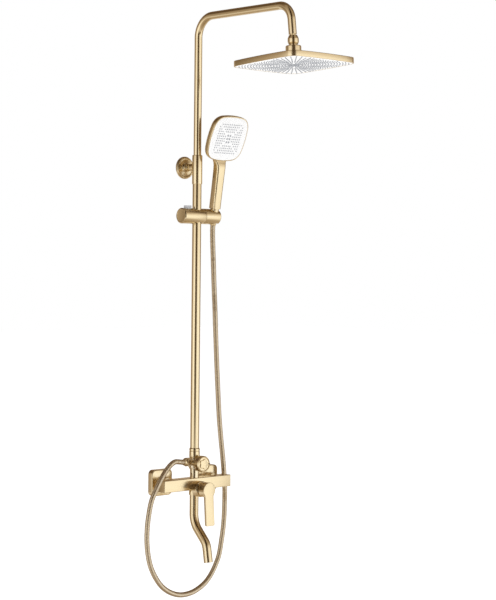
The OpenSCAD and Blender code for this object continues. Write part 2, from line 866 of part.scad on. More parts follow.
module holder_screw() {
    color(steel) at_slider() {
        rod_x(5, 15, spigot_x + 4);
        rod_x(9, spigot_x + 3 + 2 * snug, spigot_x + 6);
    }
}

// ---- hand shower ----

module at_face() {
    at_hand() translate([0, -face_f, face_s]) rotate([face_lean, 0, 0]) rotate([90, 0, 0]) children();
}

module hand_outline(inset) {
    polygon(bowed_square(hand_side - 2 * inset, 190, 30 - inset));
}

module hand_shell() {
    color(gold) difference() {
        union() {
            hull() at_face() {
                translate([0, 0, -hand_rim]) linear_extrude(hand_rim) hand_outline(0);
                translate([0, 0, -hand_t]) linear_extrude(1) hand_outline(13);
            }
            at_hand() translate([0, 0, cone_top + 1]) linear_extrude(handle_top - cone_top - 12)
                rounded_rect(handle_w, handle_d, 7);
            hull() {
                at_hand() translate([0, 0, handle_top - 14]) linear_extrude(1)
                    rounded_rect(handle_w - 0.4, handle_d - 0.4, 6.8);
                at_face() translate([0, -hand_side / 2 + 12, -hand_t + 2]) linear_extrude(hand_t - 5)
                    rounded_rect(44, 12, 5);
            }
        }
        at_face() translate([0, 0, -3]) linear_extrude(4) hand_outline(2.5);
        at_hand() rod_z(12, cone_top, handle_top - 16);
    }
}

module hand_nozzle_mat() {
    color(grey) at_face() translate([0, 0, -3]) linear_extrude(1) hand_outline(5);
}

module hand_face() {
    color("white") at_face() translate([0, 0, -2]) linear_extrude(2) hand_outline(2.5 + snug);
}

module hand_cone() {
    color(gold) at_hand() difference() {
        union() {
            translate([0, 0, cone_low]) cylinder(d1 = cone_d1, d2 = cone_d2, h = cone_top - cone_low);
            rod_z(21.6, cone_top, cone_top + 1);
            rod_z(12 - 2 * snug, cone_top, cone_top + 12);
        }
        rod_z(7, cone_low - 1, cone_top + 13);
    }
}

// ---- hose ----

module outlet_hose_nut() {
    color(gold) translate([0, riser_y, outlet_z]) difference() {
        union() {
            rod_x(21, hose_nut_start - 12, hose_nut_start);
            translate([hose_nut_end, 0, 0]) rotate([0, 90, 0])
                cylinder(d1 = hose_d + 2, d2 = 21, h = hose_nut_start - 12 - hose_nut_end);
        }
        rod_x(outlet_d + 2 * snug, outlet_end - 0.1, hose_nut_start + 1);
        rod_x(8, hose_nut_end - 1, outlet_end);
    }
}

module hose_loop() {
    color(gold) swept_hose(hose_loop_route, start_dir = [-1, 0, 0], end_dir = [0, 0, 1]);
}

module hose_rise() {
    color(gold) swept_hose(hose_rise_route, start_dir = [0, 0, 1], end_dir = [0, 0, 1]);
}

module hose_bend() {
    color(gold) swept_hose(hose_bend_route, start_dir = [0, 0, 1], end_dir = [0, 0, 1]);
}

module hose_top() {
    color(gold) swept_hose(hose_top_route, start_dir = [0, 0, 1],
        end_dir = [0, -sin(hand_lean), cos(hand_lean)]);
}

wall_plate_left();
wall_plate_right();
union_left();
union_right();
union_nuts();
inlet_washers();
mixer_body();
cartridge();
cartridge_ring();
cartridge_turntable();
lever_pin();
lever_spindle();
lever_handle();
lever_grub_screw();
spout_o_ring();
spout();
spout_collar();
aerator();
riser_nipple();
diverter_body();
diverter_core();
diverter_knob();
knob_screw();
riser_nut();
riser_seal();
lower_tube();
riser_collar();
collar_set_screw();
bracket_base();
wall_flange();
bracket_arm();
upper_tube();
guide_bush();
guide_o_rings();
ball_nipple();
ball_cup();
ball_washer();
ball_nut();
head_collar();
head_lock_nut();
head_shell();
nozzle_mat();
spray_plate();
slider_body();
slider_liner();
release_button();
button_spring();
holder();
holder_screw();
hand_shell();
hand_nozzle_mat();
hand_face();
hand_cone();
outlet_hose_nut();
hose_loop();
hose_rise();
hose_bend();
hose_top();
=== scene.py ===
"""Looks of a wall-mounted rainfall shower column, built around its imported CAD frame.

Every sub-assembly is a class: its fields are sizes in metres, its places come from the
frame's boxes and joints, and its build method makes, dresses and places its pieces.
"""

import json
import logging
import math
from dataclasses import dataclass, field
from enum import Enum
from typing import Callable, Sequence

import bmesh
import bpy
from mathutils import Matrix, Vector


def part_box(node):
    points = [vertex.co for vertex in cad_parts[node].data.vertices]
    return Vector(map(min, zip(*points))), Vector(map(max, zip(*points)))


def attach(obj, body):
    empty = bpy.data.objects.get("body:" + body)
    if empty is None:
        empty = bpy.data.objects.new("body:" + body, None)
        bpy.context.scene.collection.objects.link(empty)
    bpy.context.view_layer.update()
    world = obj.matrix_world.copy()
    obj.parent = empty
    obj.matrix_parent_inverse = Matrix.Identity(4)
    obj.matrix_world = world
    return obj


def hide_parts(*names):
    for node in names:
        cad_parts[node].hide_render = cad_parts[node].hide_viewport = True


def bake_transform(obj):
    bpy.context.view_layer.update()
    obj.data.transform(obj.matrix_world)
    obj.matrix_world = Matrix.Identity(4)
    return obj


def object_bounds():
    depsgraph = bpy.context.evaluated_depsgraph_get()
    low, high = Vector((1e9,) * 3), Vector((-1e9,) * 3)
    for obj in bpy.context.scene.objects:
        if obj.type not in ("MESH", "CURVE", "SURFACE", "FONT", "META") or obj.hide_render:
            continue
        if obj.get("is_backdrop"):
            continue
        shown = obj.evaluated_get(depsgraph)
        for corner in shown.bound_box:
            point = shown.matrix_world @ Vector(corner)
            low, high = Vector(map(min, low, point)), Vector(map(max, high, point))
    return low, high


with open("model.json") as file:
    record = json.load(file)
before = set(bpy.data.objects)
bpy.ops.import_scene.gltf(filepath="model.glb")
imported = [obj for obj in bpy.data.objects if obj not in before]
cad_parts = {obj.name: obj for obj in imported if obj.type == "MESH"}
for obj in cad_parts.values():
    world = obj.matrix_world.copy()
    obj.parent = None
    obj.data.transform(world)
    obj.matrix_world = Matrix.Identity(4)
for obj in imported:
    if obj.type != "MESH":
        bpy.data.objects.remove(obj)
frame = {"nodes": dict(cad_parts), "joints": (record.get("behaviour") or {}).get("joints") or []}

log = logging.getLogger("shower_column")

MM = 0.001
UP = Vector((0, 0, 1))
RIGHT = Vector((1, 0, 0))
ROOM = Vector((0, -1, 0))

Corner = tuple[float, float, float]
Outline = Callable[[float], list[tuple[float, float]]]


# ---- places ----


@dataclass(frozen=True)
class Box:
    """The box that one CAD node fills at rest, in metres."""

    low: Vector
    high: Vector

    @classmethod
    def of(cls, node: str) -> "Box":
        """The box of the CAD node with that name."""
        low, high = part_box(node)
        return cls(low, high)

    @property
    def centre(self) -> Vector:
        """The middle of the box."""
        return (self.low + self.high) / 2

    @property
    def size(self) -> Vector:
        """Width, depth and height of the box."""
        return self.high - self.low


def joint(name: str) -> dict:
    """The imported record's joint with that name."""
    return next(j for j in frame["joints"] if j["name"] == name)


def facing(origin: Vector, direction: Vector) -> Matrix:
    """Placement whose local Z points along a direction.

    Args:
        origin: Where the local origin goes.
        direction: Where local Z points.

    Returns:
        The placement, with local X level wherever that is possible.
    """
    z = direction.normalized()
    x = UP.cross(z)
    x = x.normalized() if x.length > 1e-4 else RIGHT.copy()
    y = z.cross(x)
    return Matrix.Translation(origin) @ Matrix((x, y, z)).transposed().to_4x4()


def level(x: float, y: float, z: float) -> Matrix:
    """Placement at a point with the row frame's own axes."""
    return Matrix.Translation((x, y, z))


# ---- outlines and paths ----


def eased(corners: Sequence[tuple[Vector, float]], steps: int = 4) -> list[Vector]:
    """Line through corner points, each corner turned into an arc of its own radius.

    Args:
        corners: Points with the radius wanted at each. The two ends stay sharp.
        steps: How many chords each arc has.

    Returns:
        The points of the eased line.
    """
    points = [corners[0][0].copy()]
    for (before, _), (corner, radius), (after, _) in zip(corners, corners[1:], corners[2:]):
        back, on = before - corner, after - corner
        half = back.angle(on) / 2
        if radius <= 0 or half > math.pi / 2 - 1e-3:
            points.append(corner.copy())
            continue
        reach = min(radius / math.tan(half), 0.5 * back.length, 0.5 * on.length)
        back.normalize()
        on.normalize()
        centre = corner + (back + on).normalized() * reach / math.cos(half)
        start, end = corner + back * reach - centre, corner + on * reach - centre
        turn = start.angle(end)
        for k in range(steps + 1):
            t = k / steps
            points.append(
                centre + (start * math.sin((1 - t) * turn) + end * math.sin(t * turn)) / math.sin(turn)
            )
    points.append(corners[-1][0].copy())
    return points


def rounded_rect(width: float, height: float, radius: float, steps: int = 6) -> Outline:
    """Outline maker of a rectangle with round corners, which can be inset evenly."""

    def outline(inset: float) -> list[tuple[float, float]]:
        """The outline moved inwards by a distance."""
        r = max(radius - inset, 0.05 * MM)
        cx, cy = width / 2 - inset - r, height / 2 - inset - r
        return [
            (sx * cx + r * math.cos(a), sy * cy + r * math.sin(a))
            for quarter, (sx, sy) in enumerate([(1, 1), (-1, 1), (-1, -1), (1, -1)])
            for a in (math.pi / 2 * (quarter + k / steps) for k in range(steps + 1))
        ]

    return outline


def bowed_square(width: float, bow: float, radius: float, steps: int = 8) -> Outline:
    """Outline maker of a square whose sides bow outwards between round corners.

    Args:
        width: Width across the middles of two opposite sides.
        bow: Radius that the sides follow.
        radius: Radius of the corners.
        steps: How many chords each side and each corner has.

    Returns:
        A function from an inset to the outline's points.
    """

    def outline(inset: float) -> list[tuple[float, float]]:
        """The outline moved inwards by a distance."""
        a, big, r = width / 2 - inset, bow - inset, max(radius - inset, 0.2 * MM)
        c = (math.sqrt(2 * (big - r) ** 2 - (big - a) ** 2) - (big - a)) / 2
        spread = math.atan2(c, c - a + big)
        points = []
        for quarter in range(4):
            turn = quarter * math.pi / 2
            side = [
                (a - big + big * math.cos(t), big * math.sin(t))
                for t in (spread * (2 * k / steps - 1) for k in range(steps + 1))
            ]
            corner = [
                (c + r * math.cos(t), c + r * math.sin(t))
                for t in (
                    spread + (math.pi / 2 - 2 * spread) * k / steps for k in range(1, steps)
                )
            ]
            points += [
                (x * math.cos(turn) - y * math.sin(turn), x * math.sin(turn) + y * math.cos(turn))
                for x, y in side + corner
            ]
        return points

    return outline


def smooth_route(points: Sequence[Vector], spacing: float) -> list[Vector]:
    """Smooth line through a route's points.

    Args:
        points: The route.
        spacing: About how far apart the line's points lie.

    Returns:
        Points along the line, with the route's own points among them.
    """
    padded = [2 * points[0] - points[1], *points, 2 * points[-1] - points[-2]]
    line = [points[0].copy()]
    for a, b, c, d in zip(padded, padded[1:], padded[2:], padded[3:]):
        count = max(2, round((c - b).length / spacing))
        pull_b = (c - a) * (c - b).length / ((b - a).length + (c - b).length)
        pull_c = (d - b) * (c - b).length / ((c - b).length + (d - c).length)
        for k in range(1, count + 1):
            t = k / count
            line.append(
                b * (2 * t**3 - 3 * t**2 + 1)
                + pull_b * (t**3 - 2 * t**2 + t)
                + c * (3 * t**2 - 2 * t**3)
                + pull_c * (t**3 - t**2)
            )
    return line


# ---- solid forms ----


class Cut(Enum):
    """How one form acts on another."""

    ADD = "UNION"
    REMOVE = "DIFFERENCE"
    KEEP_COMMON = "INTERSECT"


class Form:
    """A mesh in the making, which grows by closed shells."""

    def __init__(self) -> None:
        """Starts with nothing in it."""
        self.bm = bmesh.new()

    def skin(self, rings: Sequence[Sequence[Vector]], looped: bool = False) -> "Form":
        """Adds one closed shell over rings of points.

        Args:
            rings: Rings in order, each with as many points as the next. One point is a pole.
            looped: Whether the last ring joins the first, as on a washer or a tube's wall.

        Returns:
            This form.
        """
        made = [[self.bm.verts.new(p) for p in ring] for ring in rings]
        pairs = list(zip(made, made[1:]))
        if looped:
            pairs.append((made[-1], made[0]))
        faces = []
        for a, b in pairs:
            n = max(len(a), len(b))
            for k in range(n):
                m = (k + 1) % n
                loop = [a[k % len(a)], a[m % len(a)], b[m % len(b)], b[k % len(b)]]
                face = list(dict.fromkeys(loop))
                if len(face) > 2:
                    faces.append(self.bm.faces.new(face))
        if not looped:
            faces += [self.bm.faces.new(r) for r in (made[0], made[-1]) if len(r) > 2]
        bmesh.ops.recalc_face_normals(self.bm, faces=faces)
        return self

    def turned(
        self, place: Matrix, corners: Sequence[Corner], sides: int = 64, looped: bool = False
    ) -> "Form":
        """Adds a shape turned on a lathe round local Z.

        Args:
            place: Where the lathe's axis lies.
            corners: Radius, height and easing of each corner of the profile.
            sides: How many sides the round has.
            looped: Whether the profile closes on itself instead of on the axis.

        Returns:
            This form.
        """
        line = [(Vector((r, z, 0)), ease) for r, z, ease in corners]
        if looped:
            middle = (line[0][0] + line[-1][0]) / 2
            line = [(middle, 0.0), *line, (middle, 0.0)]
        profile = eased(line, 3)
        if looped:
            profile.pop()
        rings = []
        for p in profile:
            angles = [0.0] if p.x < 1e-7 else [2 * math.pi * k / sides for k in range(sides)]
            rings.append([place @ Vector((p.x * math.cos(a), p.x * math.sin(a), p.y)) for a in angles])
        return self.skin(rings, looped)

    def slab(
        self, place: Matrix, outline: Outline, levels: Sequence[tuple[float, float]]
    ) -> "Form":
        """Adds a flat shape with one outline at several heights.

        Args:
            place: Where the outline's plane lies.
            outline: Maker of the outline.
            levels: Inset and height of each level, in order.

        Returns:
            This form.
        """
        return self.skin([[place @ Vector((x, y, z)) for x, y in outline(i)] for i, z in levels])

    def tube(
        self, line: Sequence[Vector], radius: float, bore: float = 0.0, sides: int = 40,
        lip: float = 0.4 * MM,
    ) -> "Form":
        """Adds a round tube along a line, with its end edges eased.

        Args:
            line: The tube's centreline.
            radius: Its outer radius.
            bore: Its inner radius, or 0 for a rod.
            sides: How many sides the round has.
            lip: Easing of the end edges.

        Returns:
            This form.
        """
        headings = [
            (line[min(k + 1, len(line) - 1)] - line[max(k - 1, 0)]).normalized()
            for k in range(len(line))
        ]
        side = headings[0].orthogonal().normalized()
        frames = []
        for point, heading in zip(line, headings):
            side = (side - heading * side.dot(heading)).normalized()
            frames.append((point, side.copy(), heading.cross(side)))

        def ring(k: int, r: float, shift: float) -> list[Vector]:
            """Points round the centreline at one of its points."""
            point, u, v = frames[k]
            middle = point + headings[k] * shift
            angles = (2 * math.pi * n / sides for n in range(sides))
            return [middle + u * (r * math.cos(a)) + v * (r * math.sin(a)) for a in angles]

        last = len(line) - 1
        outer = [ring(0, radius - lip, 0), ring(0, radius, lip)]
        outer += [ring(k, radius, 0) for k in range(1, last)]
        outer += [ring(last, radius, -lip), ring(last, radius - lip, 0)]
        if bore <= 0:
            return self.skin(outer)
        inner = [ring(k, bore, 0) for k in range(last, -1, -1)]
        return self.skin(outer + inner, looped=True)

    def mesh(self) -> bpy.types.Mesh:
        """The form as a mesh. The form is used up."""
        made = bpy.data.meshes.new("form")
        self.bm.to_mesh(made)
        self.bm.free()
        return made


def shaped(
    form: Form, cuts: Sequence[tuple[Cut, Form]] = (), edge: float = 0.0, steps: int = 2
) -> bpy.types.Mesh:
    """A form's mesh after its cuts, with its sharp edges eased.

    Args:
        form: The form to start from.
        cuts: What is added or taken away, in order.
        edge: Width of the easing, or 0 for none.
        steps: How many strips the easing has.

    Returns:
        A plain mesh. The forms are used up.
    """
    thing = bpy.data.objects.new("shaping", form.mesh())
    bpy.context.scene.collection.objects.link(thing)
    tools = []
    for kind, tool_form in cuts:
        tool = bpy.data.objects.new("tool", tool_form.mesh())
        bpy.context.scene.collection.objects.link(tool)
        tool.hide_render = True
        modifier = thing.modifiers.new("cut", "BOOLEAN")
        modifier.operation = kind.value
        modifier.solver = "EXACT"
        modifier.object = tool
        tools.append(tool)
    if edge > 0:
        bevel = thing.modifiers.new("edge", "BEVEL")
        bevel.width = edge
        bevel.segments = steps
        bevel.limit_method = "ANGLE"
        bevel.angle_limit = math.radians(38)
        bevel.harden_normals = False
    made = evaluated_mesh(thing)
    for used in (thing, *tools):
        bpy.data.objects.remove(used)
    return made


def evaluated_mesh(thing: bpy.types.Object) -> bpy.types.Mesh:
    """A plain mesh of an object as its modifiers leave it."""
    graph = bpy.context.evaluated_depsgraph_get()
    graph.update()
    return bpy.data.meshes.new_from_object(thing.evaluated_get(graph))


# ---- finishes ----


class Coat:
    """The shader node groups that several finishes share, each built once."""

    @staticmethod
    def group(name: str, inputs: dict[str, float], outputs: dict[str, str]) -> tuple:
        """Starts a shader node group.

        Args:
            name: The group's name.
            inputs: Its number inputs, with their defaults.
            outputs: Its outputs, with their socket types.

        Returns:
            The group, its input node and its output node.
        """
        tree = bpy.data.node_groups.new(name, "ShaderNodeTree")
        for label, value in inputs.items():
            socket = tree.interface.new_socket(
                name=label, in_out="INPUT", socket_type="NodeSocketFloat"
            )
            socket.default_value = value
        for label, kind in outputs.items():
            tree.interface.new_socket(name=label, in_out="OUTPUT", socket_type=kind)
        return tree, tree.nodes.new("NodeGroupInput"), tree.nodes.new("NodeGroupOutput")

    @staticmethod
    def brushed() -> bpy.types.NodeTree:
        """Brushed grain: fine lines, stretched by three scales, with slow satin clouds."""
        found = bpy.data.node_groups.get("Brushed grain")
        if found:
            return found
        tree, given, out = Coat.group(
            "Brushed grain",
            {"Lines X": 900.0, "Lines Y": 900.0, "Lines Z": 20.0, "Spread": 0.1},
            {"Height": "NodeSocketFloat", "Gloss": "NodeSocketFloat", "Cloud": "NodeSocketFloat"},
        )
        place = tree.nodes.new("ShaderNodeTexCoord")
        scales = tree.nodes.new("ShaderNodeCombineXYZ")
        stretch = tree.nodes.new("ShaderNodeVectorMath")
        stretch.operation = "MULTIPLY"
        for axis in "XYZ":
            tree.links.new(given.outputs[f"Lines {axis}"], scales.inputs[axis])
        tree.links.new(place.outputs["Object"], stretch.inputs[0])
        tree.links.new(scales.outputs["Vector"], stretch.inputs[1])
        lines = tree.nodes.new("ShaderNodeTexNoise")
        lines.inputs["Scale"].default_value = 1.0
        lines.inputs["Detail"].default_value = 3.0
        tree.links.new(stretch.outputs["Vector"], lines.inputs["Vector"])
        clouds = tree.nodes.new("ShaderNodeTexNoise")
        clouds.inputs["Scale"].default_value = 34.0
        clouds.inputs["Detail"].default_value = 4.0
        clouds.inputs["Roughness"].default_value = 0.62
        tree.links.new(place.outputs["Object"], clouds.inputs["Vector"])
        both = tree.nodes.new("ShaderNodeMath")
        both.operation = "ADD"
        tree.links.new(lines.outputs["Fac"], both.inputs[0])
        tree.links.new(clouds.outputs["Fac"], both.inputs[1])
        gloss = tree.nodes.new("ShaderNodeMath")
        gloss.operation = "MULTIPLY_ADD"
        tree.links.new(both.outputs["Value"], gloss.inputs[0])
        tree.links.new(given.outputs["Spread"], gloss.inputs[1])
        minus = tree.nodes.new("ShaderNodeMath")
        minus.operation = "MULTIPLY"
        minus.inputs[1].default_value = -1.0
        tree.links.new(given.outputs["Spread"], minus.inputs[0])
        tree.links.new(minus.outputs["Value"], gloss.inputs[2])
        tree.links.new(lines.outputs["Fac"], out.inputs["Height"])
        tree.links.new(gloss.outputs["Value"], out.inputs["Gloss"])
        tree.links.new(clouds.outputs["Fac"], out.inputs["Cloud"])
        return tree

    @staticmethod
    def edge_wear() -> bpy.types.NodeTree:
        """Edge wear: a mask that is 1 on worn outer edges, broken up by a fine noise."""
        found = bpy.data.node_groups.get("Edge wear")
        if found:
            return found
        tree, given, out = Coat.group(
            "Edge wear", {"Start": 0.53, "Width": 0.06}, {"Mask": "NodeSocketFloat"}
        )
        shape = tree.nodes.new("ShaderNodeNewGeometry")
        place = tree.nodes.new("ShaderNodeTexCoord")
        noise = tree.nodes.new("ShaderNodeTexNoise")
        noise.inputs["Scale"].default_value = 260.0
        noise.inputs["Detail"].default_value = 2.0
        tree.links.new(place.outputs["Object"], noise.inputs["Vector"])
        end = tree.nodes.new("ShaderNodeMath")
        end.operation = "ADD"
        tree.links.new(given.outputs["Start"], end.inputs[0])
        tree.links.new(given.outputs["Width"], end.inputs[1])
        ramp = tree.nodes.new("ShaderNodeMapRange")
        tree.links.new(shape.outputs["Pointiness"], ramp.inputs["Value"])
        tree.links.new(given.outputs["Start"], ramp.inputs["From Min"])
        tree.links.new(end.outputs["Value"], ramp.inputs["From Max"])
        mask = tree.nodes.new("ShaderNodeMath")
        mask.operation = "MULTIPLY"
        mask.use_clamp = True
        tree.links.new(ramp.outputs["Result"], mask.inputs[0])
        tree.links.new(noise.outputs["Fac"], mask.inputs[1])
        tree.links.new(mask.outputs["Value"], out.inputs["Mask"])
        return tree


class Grain(Enum):
    """Which way the brushing runs: lines per metre along X, Y and Z."""

    ROUND_Z = (60.0, 60.0, 2600.0)
    ROUND_X = (2600.0, 60.0, 60.0)
    ROUND_Y = (60.0, 2600.0, 60.0)
    LEVEL = (30.0, 1500.0, 2200.0)
    EVEN = (1800.0, 1800.0, 1800.0)


@dataclass(frozen=True)
class Finish:
    """A procedural finish: its colour, gloss, grain and wear."""

    name: str
    colour: Corner
    shade: Corner
    roughness: float
    metallic: float = 1.0
    spread: float = 0.08
    bump: float = 0.05
    grain: Grain = Grain.EVEN
    wear: float = 0.0
    coat: float = 0.0
    anisotropy: float = 0.0
    specular: float = 0.5

    def material(self) -> bpy.types.Material:
        """The finish as a material, built once.

        Returns:
            The material.
        """
        found = bpy.data.materials.get(self.name)
        if found:
            return found
        made = bpy.data.materials.new(self.name)
        made.use_nodes = True
        nodes, links = made.node_tree.nodes, made.node_tree.links
        shader = nodes["Principled BSDF"]
        shader.inputs["Metallic"].default_value = self.metallic
        shader.inputs["Specular IOR Level"].default_value = self.specular
        shader.inputs["Coat Weight"].default_value = self.coat
        shader.inputs["Coat Roughness"].default_value = 0.12
        shader.inputs["Anisotropic"].default_value = self.anisotropy
        grain = nodes.new("ShaderNodeGroup")
        grain.node_tree = Coat.brushed()
        for axis, lines in zip("XYZ", self.grain.value):
            grain.inputs[f"Lines {axis}"].default_value = lines
        grain.inputs["Spread"].default_value = self.spread
        tint = nodes.new("ShaderNodeMix")
        tint.data_type = "RGBA"
        tint.inputs["A"].default_value = (*self.shade, 1.0)
        tint.inputs["B"].default_value = (*self.colour, 1.0)
        links.new(grain.outputs["Cloud"], tint.inputs["Factor"])
        colour = tint.outputs["Result"]
        if self.wear > 0:
            worn = nodes.new("ShaderNodeGroup")
            worn.node_tree = Coat.edge_wear()
            lighter = nodes.new("ShaderNodeMix")
            lighter.data_type = "RGBA"
            light = tuple(c + (1 - c) * self.wear for c in self.colour)
            lighter.inputs["B"].default_value = (*light, 1.0)
            links.new(worn.outputs["Mask"], lighter.inputs["Factor"])
            links.new(colour, lighter.inputs["A"])
            colour = lighter.outputs["Result"]
        links.new(colour, shader.inputs["Base Color"])
        gloss = nodes.new("ShaderNodeMath")
        gloss.operation = "ADD"
        gloss.use_clamp = True
        gloss.inputs[1].default_value = self.roughness
        links.new(grain.outputs["Gloss"], gloss.inputs[0])
        links.new(gloss.outputs["Value"], shader.inputs["Roughness"])
        bump = nodes.new("ShaderNodeBump")
        bump.inputs["Strength"].default_value = self.bump
        bump.inputs["Distance"].default_value = 0.02 * MM
        links.new(grain.outputs["Height"], bump.inputs["Height"])
        links.new(bump.outputs["Normal"], shader.inputs["Normal"])
        return made


GOLD = (0.80, 0.675, 0.44)
GOLD_SHADE = (0.75, 0.615, 0.385)


def gold(name: str, grain: Grain, roughness: float = 0.22) -> Finish:
    """Brushed champagne gold plating with its grain one way."""
    return Finish(name, GOLD, GOLD_SHADE, roughness, 1.0, 0.05, 0.04, grain, 0.35, 0.1, 0.2)


GOLD_TUBE = gold("brushed_gold_round_z", Grain.ROUND_Z, 0.17)
GOLD_ACROSS = gold("brushed_gold_round_x", Grain.ROUND_X)
GOLD_FRONT = gold("brushed_gold_round_y", Grain.ROUND_Y)
GOLD_LEVEL = gold("brushed_gold_level", Grain.LEVEL)
GOLD_EVEN = gold("satin_gold", Grain.EVEN, 0.25)
# Polished gold: smoother and lighter in colour than the brushed gold; on the cartridge ring the lighter colour is
# partly a painted highlight.
GOLD_POLISHED_HIGHLIGHT = Finish("polished_gold_painted_highlight", (0.90, 0.79, 0.56), (0.86, 0.74, 0.50), 0.10, 1.0, 0.04, 0.02)
GOLD_HOSE = Finish("hose_gold", (0.74, 0.65, 0.50), (0.60, 0.51, 0.37), 0.26, 1.0, 0.10, 0.08)
BRASS = Finish("machined_brass", (0.60, 0.42, 0.16), (0.48, 0.32, 0.11), 0.30, 1.0, 0.1, 0.2, Grain.ROUND_Y)
STEEL = Finish("bright_steel", (0.66, 0.66, 0.66), (0.52, 0.52, 0.53), 0.22, 1.0, 0.08, 0.1)
WHITE = Finish("white_plastic", (0.80, 0.80, 0.81), (0.76, 0.76, 0.77), 0.42, 0.0, 0.05, 0.03, specular=0.25)
GREY = Finish("grey_plastic", (0.30, 0.30, 0.33), (0.24, 0.24, 0.27), 0.42, 0.0, 0.08, 0.15)
SILICONE = Finish("grey_silicone", (0.05, 0.05, 0.06), (0.035, 0.035, 0.042), 0.6, 0.0, 0.08, 0.15, specular=0.1)
RUBBER = Finish("seal_rubber", (0.03, 0.03, 0.032), (0.02, 0.02, 0.022), 0.6, 0.0, 0.1, 0.3)
DARK = Finish("dark_mark", (0.05, 0.04, 0.035), (0.03, 0.026, 0.022), 0.5, 0.0, 0.05, 0.05)


# ---- pieces ----


@dataclass(frozen=True)
class Piece:
    """What a finished piece is called, rides on and stands for."""

    name: str
    body: str
    replaces: tuple[str, ...] = ()
    slot: str = "brushed_gold"
    sharp: float = 32.0

    def made(self, mesh: bpy.types.Mesh, finish: Finish) -> bpy.types.Object:
        """Puts a mesh in the scene as this piece.

        Args:
            mesh: The finished mesh, in the row frame.
            finish: What it looks like.

        Returns:
            The piece, riding on its body.
        """
        piece = self.loose(mesh, finish)
        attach(piece, self.body)
        return piece

    def loose(self, mesh: bpy.types.Mesh, finish: Finish) -> bpy.types.Object:
        """Makes the piece without putting it on a body, for one that bends between two."""
        mesh.name = self.name
        mesh.materials.clear()
        mesh.materials.append(finish.material())
        mesh.shade_smooth()
        mesh.set_sharp_from_angle(angle=math.radians(self.sharp))
        piece = bpy.data.objects.new(self.name, mesh)
        bpy.context.scene.collection.objects.link(piece)
        if self.replaces:
            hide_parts(*self.replaces)
        log.info("%s: %d faces on %s", self.name, len(mesh.polygons), self.body)
        return piece


# ---- repeated things, by geometry nodes ----


